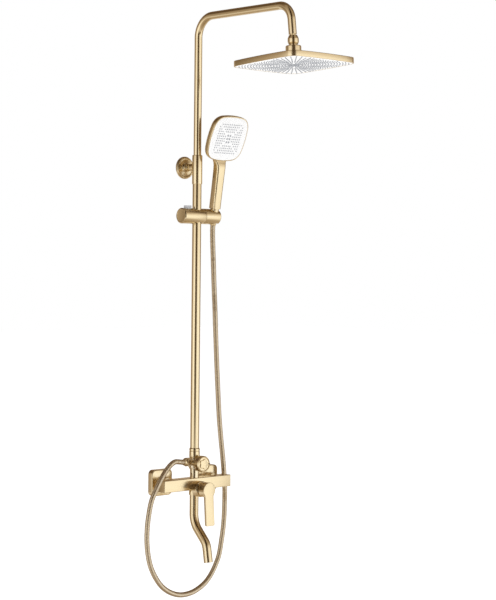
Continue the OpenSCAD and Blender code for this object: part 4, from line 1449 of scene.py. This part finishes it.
@dataclass
class RainHead:
    """The square rain head with its ball nut, collar, white spray plate and nozzles."""

    side: float = 216 * MM
    bow: float = 900 * MM
    corner: float = 21 * MM
    top: float = -45 * MM
    thickness: float = 13.5 * MM
    rim: float = 2.2 * MM
    plate: float = 2.5 * MM
    stud_radius: float = 1.5 * MM
    stud_height: float = 2.2 * MM
    ray_step: float = 6.0
    rays: int = 7
    stud_gap: float = 6.6 * MM

    def place(self) -> Matrix:
        """The head's own placement: the ball's centre, tilted as the spin axis is."""
        spin = joint("head_spin")
        axis = Vector(spin["axis"])
        tilt = math.atan2(axis.y, axis.z)
        return Matrix.Translation(spin["pos_m"]) @ Matrix.Rotation(-tilt, 4, "X")

    def build(self) -> None:
        """Makes the pieces of the rain head."""
        place = self.place()
        self.joint_nut(place)
        self.shell(place)
        self.spray(place)

    def joint_nut(self, place: Matrix) -> None:
        """The rounded nut over the ball, and the stepped collar below it."""
        nut = Form().turned(
            place,
            [(10.5 * MM, -9.5 * MM, 0.2 * MM), (11.4 * MM, -9.5 * MM, 0.5 * MM), (13 * MM, -4.5 * MM, 4 * MM),
             (13 * MM, 3.0 * MM, 5 * MM), (9.6 * MM, 10.8 * MM, 0.6 * MM), (7.4 * MM, 10.8 * MM, 0.2 * MM),
             (7.4 * MM, 6.5 * MM, 0.5 * MM), (10.5 * MM, 3 * MM, MM)],
            72, looped=True,
        )
        Piece("ball_joint_nut", "rain_head", ("ball_nut",)).made(shaped(nut), GOLD_TUBE)
        boss, neck = 18.3 * MM, 10.4 * MM
        collar = Form().turned(
            place,
            [(0, -9 * MM, 0), (neck - 0.5 * MM, -9 * MM, 0.4 * MM), (neck - 0.5 * MM, -13.5 * MM, 0.5 * MM),
             (boss - 1.5 * MM, -13.5 * MM, 0.8 * MM), (boss, -15.2 * MM, 0.8 * MM),
             (boss, -34.2 * MM, 0.8 * MM), (boss - 1.2 * MM, -36 * MM, 0.4 * MM), (12 * MM, -36 * MM, 0),
             (12 * MM, -53 * MM, 0), (0, -53 * MM, 0)],
            72,
        )
        Piece("head_swivel_collar", "rain_head", ("head_collar",)).made(shaped(collar), GOLD_TUBE)

    def shell(self, place: Matrix) -> None:
        """The shallow shell: bowed sides, a low cone up to the collar and a thin rim below."""
        outline = bowed_square(self.side, self.bow, self.corner)
        low = self.top - self.thickness
        directions = outline(0)

        def circle(radius: float, z: float) -> list[Vector]:
            """A round ring that matches the outline's points."""
            return [place @ Vector((x, y, z)) for x, y in round_ring(directions, radius)]

        def square(inset: float, z: float) -> list[Vector]:
            """The outline at a height."""
            return [place @ Vector((x, y, z)) for x, y in outline(inset)]

        ease = 1.3 * MM
        rings = [circle(22.3 * MM, self.top + 9 * MM), circle(60 * MM, self.top)]
        rings += [square(i, z) for i, z in easing(self.top, ease)[::-1]]
        rings += [square(i, 2 * low + 0.7 * MM - z) for i, z in easing(low + 0.7 * MM, 0.7 * MM)]
        inside = self.top - 1.6 * MM
        rings += [square(self.rim, low), square(self.rim, inside), circle(12.1 * MM, inside)]
        rings.append(circle(12.1 * MM, self.top + 9 * MM))
        Piece("rain_head_shell", "rain_head", ("head_shell",), "gold_plated_plastic").made(
            shaped(Form().skin(rings, looped=True)), GOLD_LEVEL
        )

    def spray(self, place: Matrix) -> None:
        """The white plate, its centre disc and the nozzles in rays."""
        low = self.top - self.thickness
        face = low + 0.4 * MM
        outline = bowed_square(self.side, self.bow, self.corner)
        levels = [
            (self.rim + 0.1 * MM + i, 2 * face + self.plate - z)
            for i, z in easing(face + self.plate, 0.5 * MM)
        ]
        plate = Form().slab(place, outline, [(self.rim + 0.1 * MM, face + self.plate), *levels])
        Piece("rain_spray_plate", "rain_head", ("spray_plate",), "white_plastic").made(shaped(plate), WHITE)
        disc = Form().turned(
            place, [(0, face + MM, 0), (15.5 * MM, face + MM, 0), (15.5 * MM, face - 0.4 * MM, 0.3 * MM),
                    (0, face - 0.4 * MM, 0)],
        )
        Piece("rain_spray_disc", "rain_head", (), "grey_silicone").made(shaped(disc), SILICONE)
        turn = (place.to_3x3() @ Matrix.Rotation(math.pi, 3, "X")).to_euler()
        studs = Repeat.studs(
            [place @ Vector((x, y, face + 0.1 * MM)) for x, y in self.field()],
            Vector(turn), self.stud_radius, 0.75 * self.stud_radius, self.stud_height, SILICONE, 10,
        )
        Piece("rain_nozzles", "rain_head", ("nozzle_mat",), "grey_silicone").made(studs, SILICONE)

    def field(self) -> list[tuple[float, float]]:
        """Places of the nozzles: rays all round, every second one starting further out."""
        half = self.side / 2 - self.rim - 8 * MM
        places = []
        for quarter in range(4):
            for ray in range(-self.rays, self.rays + 1):
                turn = math.radians(90 * quarter + self.ray_step * ray)
                first = 4 if ray % 2 else 0
                reach = half / math.cos(math.radians(self.ray_step * ray))
                for k in range(first, 40):
                    r = 21 * MM + self.stud_gap * k
                    if r > reach:
                        break
                    places.append((r * math.cos(turn), r * math.sin(turn)))
        for radius, count in ((12 * MM, 14), (7 * MM, 8)):
            places += [
                (radius * math.cos(2 * math.pi * k / count), radius * math.sin(2 * math.pi * k / count))
                for k in range(count)
            ]
        return places


# ---- slider and holder ----


@dataclass
class Slider:
    """The slider on the riser, its release button, and the swivelling holder beside it."""

    button_grooves: int = 3
    button_corner: float = 5 * MM
    tube_gap: float = 1 * MM
    slot: float = 14.5 * MM

    def build(self) -> None:
        """Makes the slider, the button and the holder."""
        box = Box.of("slider_body")
        tube = Box.of("lower_tube")
        y, z = tube.centre.y, Box.of("slider_liner").centre.z
        radius = box.size.z / 2
        holder = Box.of("holder")
        place = facing(Vector((box.low.x, y, z)), RIGHT)
        length = holder.low.x - 0.5 * MM - box.low.x
        body = Form().turned(
            place,
            [(0, 0.7 * MM, 0), (radius - 4.2 * MM, 0.7 * MM, 0.3 * MM), (radius - 3.6 * MM, 0, 0.3 * MM),
             (radius - 2.2 * MM, 0, 0.4 * MM), (radius, 2.2 * MM, 0.7 * MM), (radius, length, 0.5 * MM),
             (radius - 4 * MM, length, 0), (radius - 4 * MM, length + 0.3 * MM, 0), (0, length + 0.3 * MM, 0)],
            96,
        )
        bore = Form().turned(
            level(0, y, z - 2 * radius),
            [(0, 0, 0), (tube.size.x / 2 + self.tube_gap, 0, 0),
             (tube.size.x / 2 + self.tube_gap, 4 * radius, 0), (0, 4 * radius, 0)],
        )
        button = Box.of("release_button")
        middle = level(button.centre.x, button.centre.y, 0)
        well = Form().slab(
            middle, rounded_rect(button.size.x + 0.6 * MM, button.size.y + 0.6 * MM, self.button_corner),
            [(0, button.low.z - 3 * MM), (0, button.high.z + 20 * MM)],
        )
        Piece("slider_barrel", "slider", ("slider_body",), "gold_plated_plastic").made(
            shaped(body, [(Cut.REMOVE, bore), (Cut.REMOVE, well)], 0.4 * MM), GOLD_ACROSS
        )
        self.button(button, middle)
        self.holder(holder, y, z, radius)
        dress("slider_liner", GREY)

    def button(self, box: Box, middle: Matrix) -> None:
        """The release button, with finger grooves across its top."""
        cap = Form().slab(
            middle, rounded_rect(box.size.x, box.size.y, self.button_corner),
            [(0, box.low.z), *easing(box.high.z, 1.2 * MM)],
        )
        cuts = []
        for k in range(self.button_grooves):
            x = (k - (self.button_grooves - 1) / 2) * 4.2 * MM
            line = [Vector((box.centre.x + x, y, box.high.z + 0.3 * MM)) for y in (box.low.y - MM, box.high.y + MM)]
            cuts.append((Cut.REMOVE, Form().tube(line, 1.1 * MM, 0, 16, 0.1 * MM)))
        Piece("slider_button", "release_button", ("release_button",), "grey_plastic").made(
            shaped(cap, cuts), GREY
        )

    def holder(self, box: Box, y: float, z: float, radius: float) -> None:
        """The holder: a round end with a tapered hole and a slot for the hose."""
        hand = HandShower()
        place = facing(Vector((box.low.x, y, z)), RIGHT)
        length = box.size.x
        body = Form().turned(
            place,
            [(0, 0, 0), (radius, 0, 0.5 * MM), (radius, length - 3.2 * MM, 1.5 * MM),
             (radius - 3 * MM, length, 1.2 * MM), (0, length, 0)],
            96,
        )
        cone = Form().turned(
            hand.handle_place(),
            [(0, -30 * MM, 0), (hand.cone_radius(-30 * MM) + 0.3 * MM, -30 * MM, 0),
             (hand.cone_radius(30 * MM) + 0.3 * MM, 30 * MM, 0), (0, 30 * MM, 0)],
        )
        slot_place = hand.handle_place()
        half = self.slot / 2
        corners = [(0, -half), (40 * MM, -half), (40 * MM, half), (0, half)]
        slot = Form().skin([[slot_place @ Vector((u, v, w)) for u, v in corners] for w in (-40 * MM, 40 * MM)])
        Piece("holder_cradle", "holder", ("holder",), "gold_plated_plastic").made(
            shaped(body, [(Cut.REMOVE, cone), (Cut.REMOVE, slot)], 0.5 * MM), GOLD_ACROSS
        )


# ---- hand shower ----


@dataclass
class HandShower:
    """The hand shower: a square head with bowed sides on a slim handle."""

    side: float = 116 * MM
    bow: float = 190 * MM
    corner: float = 30 * MM
    thickness: float = 21 * MM
    lip: float = 2.5 * MM
    handle_width: float = 25 * MM
    handle_depth: float = 22 * MM
    handle_corner: float = 6 * MM
    face_along: float = 195 * MM
    face_forward: float = 20 * MM
    face_lean: float = 14.0
    cone_low: float = -21 * MM
    cone_top: float = 19 * MM
    cone_foot: float = 7.5 * MM
    cone_head: float = 11 * MM
    pitch: float = 6.1 * MM
    rows: int = 6
    stud_radius: float = 1.75 * MM

    def handle_place(self) -> Matrix:
        """The handle's own placement: local Z runs up the handle."""
        axis = Vector(joint("hand_lift")["axis"])
        lean = math.atan2(-axis.y, axis.z)
        slider = Box.of("slider_liner")
        cone = Box.of("hand_cone")
        origin = Vector((cone.centre.x, slider.centre.y - 3.5 * MM, slider.centre.z))
        return Matrix.Translation(origin) @ Matrix.Rotation(lean, 4, "X")

    def face_place(self) -> Matrix:
        """The spray face's placement: local Z points out of the face, local Y up it."""
        tilt = Matrix.Rotation(math.radians(self.face_lean), 4, "X")
        quarter = Matrix.Rotation(math.pi / 2, 4, "X")
        return self.handle_place() @ level(0, -self.face_forward, self.face_along) @ tilt @ quarter

    def cone_radius(self, along: float) -> float:
        """Radius of the cone at a distance along the handle."""
        share = (along - self.cone_low) / (self.cone_top - self.cone_low)
        return self.cone_foot + (self.cone_head - self.cone_foot) * share

    def build(self) -> None:
        """Makes the pieces of the hand shower."""
        self.shell()
        self.face()
        self.cone()

    def shell(self) -> None:
        """The gold shell: a dished back, bowed sides and a handle that flows into them."""
        face = self.face_place()
        outline = bowed_square(self.side, self.bow, self.corner, 10)
        levels = [
            (22 * MM, -self.thickness), (13 * MM, -self.thickness + 0.5 * MM), (7 * MM, -self.thickness + 2.6 * MM),
            (3 * MM, -self.thickness + 5.6 * MM), (0.8 * MM, -self.thickness + 9 * MM), (0.0, -9 * MM),
            *easing(0.0, 1.4 * MM, 4), (self.lip, 0.0), (self.lip, -3 * MM),
        ]
        head = Form().slab(face, outline, levels)
        handle = self.handle_place()
        rings = []
        section = [
            (20.0, 0.5, 0.0, 0.0), (20.6, 0.0, 0.0, 0.0), (60.0, 0.0, 0.0, 0.0), (100.0, -0.3, 0.0, 0.0),
            (120.0, -0.8, 0.0, 0.0), (127.0, -1.5, 0.5, 0.5), (133.0, -3.0, 1.7, 1.7),
            (138.0, -5.5, 3.1, 3.0), (143.0, -8.5, 4.5, 3.1), (150.0, -12.0, 5.7, 2.3), (158.0, -14.0, 6.5, 0.5),
        ]
        for along, wider, flatter, forward in section:
            depth = self.handle_depth - 2 * flatter * MM
            corner = min(self.handle_corner, 0.42 * depth)
            make = rounded_rect(self.handle_width - 2 * wider * MM, depth, corner)
            rings.append(
                [handle @ Vector((x, y + forward * MM, along * MM)) for x, y in make(0.0)]
            )
        grip = Form().skin(rings)
        Piece("hand_shower_shell", "hand_shower", ("hand_shell",), "gold_plated_plastic").made(
            joined([shaped(head), shaped(grip)]), GOLD_EVEN
        )

    def face(self) -> None:
        """The white face with its fine nozzles in four sectors and six larger ones between."""
        place = self.face_place()
        outline = bowed_square(self.side, self.bow, self.corner, 10)
        inset = self.lip + 0.05 * MM
        plate = Form().slab(
            place, outline,
            [(inset, -2.5 * MM)] + [(inset + i, z) for i, z in easing(0.0, 0.5 * MM)] + [(12 * MM, 0.25 * MM)],
        )
        Piece("hand_spray_face", "hand_shower", ("hand_face",), "white_plastic").made(shaped(plate), WHITE)
        turn = Vector(place.to_euler())
        spots = []
        for quarter in range(4):
            first = 3 if quarter % 2 else 2
            for row in range(first, self.rows + 1):
                for k in range(1 - row, row):
                    u, v = k * self.pitch, row * self.pitch
                    a = quarter * math.pi / 2 - math.pi / 2
                    spots.append((u * math.cos(a) - v * math.sin(a), u * math.sin(a) + v * math.cos(a)))
        fine = Repeat.studs(
            [place @ Vector((x, y, 0.15 * MM)) for x, y in spots], turn,
            self.stud_radius, 0.7 * self.stud_radius, 1.0 * MM, SILICONE, 10,
        )
        Piece("hand_nozzles", "hand_shower", ("hand_nozzle_mat",), "grey_silicone").made(fine, SILICONE)
        big = [(sx * 3.7 * MM, sy * 8.4 * MM) for sx in (-1, 1) for sy in (-1, 0, 1)]
        wide = Repeat.studs(
            [place @ Vector((x, y, 0.15 * MM)) for x, y in big], turn, 2.6 * MM, 2.1 * MM, 1.2 * MM, SILICONE, 16,
        )
        Piece("hand_centre_nozzles", "hand_shower", (), "grey_silicone").made(wide, SILICONE)

    def cone(self) -> None:
        """The tapered end that sits in the holder."""
        taper = Form().turned(
            self.handle_place(),
            [(3.6 * MM, self.cone_low, 0.2 * MM), (self.cone_foot, self.cone_low, 0.4 * MM),
             (self.cone_head, self.cone_top, 0.3 * MM), (self.cone_head - 0.3 * MM, self.cone_top + 1.2 * MM, 0),
             (3.6 * MM, self.cone_top + 1.2 * MM, 0)],
            looped=True,
        )
        Piece("hand_shower_cone", "hand_shower", ("hand_cone",)).made(shaped(taper), GOLD_TUBE)


# ---- what stays inside ----


INSIDE: dict[Finish, tuple[str, ...]] = {
    BRASS: ("union_left", "union_right", "lever_spindle", "diverter_core", "head_lock_nut"),
    STEEL: ("lever_pin", "lever_grub_screw", "collar_set_screw", "button_spring", "holder_screw"),
    WHITE: ("cartridge", "aerator", "guide_bush", "ball_cup", "ball_washer"),
    RUBBER: ("inlet_washers", "spout_o_ring", "riser_seal", "guide_o_rings"),
}


# ---- studio ----


@dataclass
class Studio:
    """The camera, the pale floor and the soft light."""

    eye: Corner = (-2.79095, -3.20558, 0.53969)
    azimuth: float = -43.22
    pitch: float = -1.24
    roll: float = 0.59
    lens: float = 102.87
    sensor: float = 36.0
    floor_drop: float = 0.05
    strength: float = 1.35
    ring: tuple[tuple[float, float], ...] = (
        (-180, 0.45), (-135, 0.40), (-108, 0.20), (-84, 0.42), (-66, 0.95), (-30, 1.0), (-19, 0.10),
        (22, 0.08), (33, 0.95), (60, 1.0), (94, 1.0), (112, 0.25), (140, 0.40), (180, 0.45),
    )
    height: tuple[tuple[float, float], ...] = (
        (-1.0, 1.0), (0.0, 1.0), (0.3, 0.75), (0.55, 0.35), (1.0, 0.30),
    )
    ground: tuple[tuple[float, float], ...] = (
        (-1.0, 0.30), (-0.7, 0.40), (-0.35, 0.85), (-0.15, 0.95), (1.0, 0.95),
    )

    def build(self) -> None:
        """Sets up the camera, the floor and the light."""
        self.camera()
        self.floor()
        self.surround()
        self.lamps()

    def axes(self) -> tuple[Vector, Vector, Vector]:
        """The camera's right, up and forward directions."""
        turn, dip, roll = (math.radians(a) for a in (self.azimuth, self.pitch, self.roll))
        ahead = Vector((-math.sin(turn) * math.cos(dip), math.cos(turn) * math.cos(dip), math.sin(dip)))
        right = Vector((math.cos(turn), math.sin(turn), 0))
        up = right.cross(ahead)
        return (
            right * math.cos(roll) + up * math.sin(roll),
            up * math.cos(roll) - right * math.sin(roll),
            ahead,
        )

    def camera(self) -> None:
        """The camera, a little left of the column and level with its middle."""
        right, up, ahead = self.axes()
        data = bpy.data.cameras.new("camera")
        data.lens = self.lens
        data.sensor_width = self.sensor
        eye = bpy.data.objects.new("camera", data)
        turn = Matrix((right, up, -ahead)).transposed().to_4x4()
        eye.matrix_world = Matrix.Translation(self.eye) @ turn
        bpy.context.scene.collection.objects.link(eye)
        bpy.context.scene.camera = eye

    def floor(self) -> None:
        """A wide pale floor below the column."""
        low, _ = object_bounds()
        mesh = bpy.data.meshes.new("floor")
        far = 14.0
        z = low.z - self.floor_drop
        mesh.from_pydata([(-far, -far, z), (far, -far, z), (far, far, z), (-far, far, z)], [], [(0, 1, 2, 3)])
        floor = bpy.data.objects.new("floor", mesh)
        paint = bpy.data.materials.new("floor_paint")
        paint.use_nodes = True
        shader = paint.node_tree.nodes["Principled BSDF"]
        shader.inputs["Base Color"].default_value = (0.97, 0.97, 0.97, 1)
        shader.inputs["Roughness"].default_value = 0.9
        shader.inputs["Specular IOR Level"].default_value = 0.1
        shader.inputs["Emission Color"].default_value = (1.0, 1.0, 1.0, 1)
        shader.inputs["Emission Strength"].default_value = 0.56
        mesh.materials.append(paint)
        bpy.context.scene.collection.objects.link(floor)
        floor.visible_glossy = False
        floor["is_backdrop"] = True

    @staticmethod
    def ramp(
        nodes: bpy.types.Nodes, links: bpy.types.NodeLinks, source: bpy.types.NodeSocket,
        stops: Sequence[tuple[float, float]],
    ) -> bpy.types.NodeSocket:
        """Runs a value through a colour ramp whose dim stops are warm.

        Args:
            nodes: The world's nodes.
            links: The world's links.
            source: The value.
            stops: Where each stop stands on the value's own scale, and how bright it is.

        Returns:
            The colour.
        """
        low, high = stops[0][0], stops[-1][0]
        share = nodes.new("ShaderNodeMapRange")
        share.inputs["From Min"].default_value = low
        share.inputs["From Max"].default_value = high
        links.new(source, share.inputs["Value"])
        ramp = nodes.new("ShaderNodeValToRGB")
        ramp.color_ramp.interpolation = "EASE"
        marks = ramp.color_ramp.elements
        while len(marks) < len(stops):
            marks.new(0.5)
        for mark, (at, value) in zip(marks, stops):
            mark.position = (at - low) / (high - low)
            mark.color = (value, value * (0.70 + 0.30 * value), value * (0.40 + 0.60 * value), 1)
        links.new(share.outputs["Result"], ramp.inputs["Fac"])
        return ramp.outputs["Color"]

    def surround(self) -> None:
        """White for the camera, soft light for matt surfaces, and soft boxes for reflections."""
        world = bpy.data.worlds.new("studio")
        world.use_nodes = True
        bpy.context.scene.world = world
        nodes, links = world.node_tree.nodes, world.node_tree.links
        nodes.clear()

        def maths(operation: str, a: object, b: object = None) -> bpy.types.NodeSocket:
            """A maths node on sockets or numbers."""
            node = nodes.new("ShaderNodeMath")
            node.operation = operation
            for socket, value in zip(node.inputs, (a, b)):
                if isinstance(value, bpy.types.NodeSocket):
                    links.new(value, socket)
                elif value is not None:
                    socket.default_value = value
            return node.outputs["Value"]

        def blended(kind: str, factor: object, a: object, b: object) -> bpy.types.NodeSocket:
            """A colour mix node."""
            node = nodes.new("ShaderNodeMix")
            node.data_type = "RGBA"
            node.blend_type = kind
            for name, value in (("Factor", factor), ("A", a), ("B", b)):
                if isinstance(value, bpy.types.NodeSocket):
                    links.new(value, node.inputs[name])
                else:
                    node.inputs[name].default_value = value
            return node.outputs["Result"]

        place = nodes.new("ShaderNodeTexCoord")
        turned = nodes.new("ShaderNodeVectorRotate")
        turned.rotation_type = "Z_AXIS"
        turned.inputs["Angle"].default_value = math.radians(-self.azimuth)
        links.new(place.outputs["Generated"], turned.inputs["Vector"])
        parts = nodes.new("ShaderNodeSeparateXYZ")
        links.new(turned.outputs["Vector"], parts.inputs["Vector"])
        bearing = maths("ARCTAN2", parts.outputs["X"], maths("MULTIPLY", parts.outputs["Y"], -1.0))
        degrees = maths("MULTIPLY", bearing, 180 / math.pi)
        ring = self.ramp(nodes, links, degrees, self.ring)
        height = self.ramp(nodes, links, parts.outputs["Z"], self.height)
        ground = self.ramp(nodes, links, parts.outputs["Z"], self.ground)
        above = blended("MULTIPLY", 1.0, ring, height)
        below = maths("MULTIPLY", parts.outputs["Z"], -4.0)
        below = maths("SUBTRACT", below, 1.0)
        below.node.use_clamp = True
        boxes = blended("MIX", below, above, ground)
        path = nodes.new("ShaderNodeLightPath")
        soft = (0.52, 0.52, 0.53, 1)
        white = (1.0, 1.0, 1.0, 1)
        strong = blended("MULTIPLY", 1.0, boxes, (self.strength, self.strength, self.strength, 1))
        lit = blended("MIX", path.outputs["Is Diffuse Ray"], strong, soft)
        seen = blended("MIX", path.outputs["Is Camera Ray"], lit, white)
        sky = nodes.new("ShaderNodeBackground")
        links.new(seen, sky.inputs["Color"])
        out = nodes.new("ShaderNodeOutputWorld")
        links.new(sky.outputs["Background"], out.inputs["Surface"])

    def lamps(self) -> None:
        """Soft lamps that light the white faces and the floor, unseen in reflections."""
        right, up, ahead = self.axes()
        target = Vector((0, -0.15, 0.45))
        for name, offset, size, power in (
            ("key", right * 2.2 - ahead * 2.2 + up * 1.6, 2.5, 11.0),
            ("fill", right * -2.6 - ahead * 2.0 + up * 0.6, 2.5, 9.0),
            ("top", Vector((0, 0, 2.6)), 3.5, 22.0),
            ("under", Vector((0, -0.6, -0.70)), 1.6, 1.5),
        ):
            data = bpy.data.lights.new(name, "AREA")
            data.size = size
            data.energy = power
            data.specular_factor = 0.0
            lamp = bpy.data.objects.new(name, data)
            lamp.visible_glossy = False
            where = target + offset
            lamp.matrix_world = Matrix.Translation(where) @ (target - where).to_track_quat("-Z", "Y").to_matrix().to_4x4()
            bpy.context.scene.collection.objects.link(lamp)


def main() -> None:
    """Builds the studio, then every sub-assembly in order."""
    logging.basicConfig(level=logging.INFO, format="%(name)s: %(message)s")
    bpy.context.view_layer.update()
    bpy.context.scene.view_settings.view_transform = "Standard"
    for part in (
        Studio(), Hose(), MixerBar(), Lever(), Diverter(), Riser(), RainArm(), RainHead(), Slider(), HandShower(),
    ):
        part.build()
    for finish, nodes in INSIDE.items():
        for node in nodes:
            dress(node, finish)


if __name__ == "__main__":
    main()
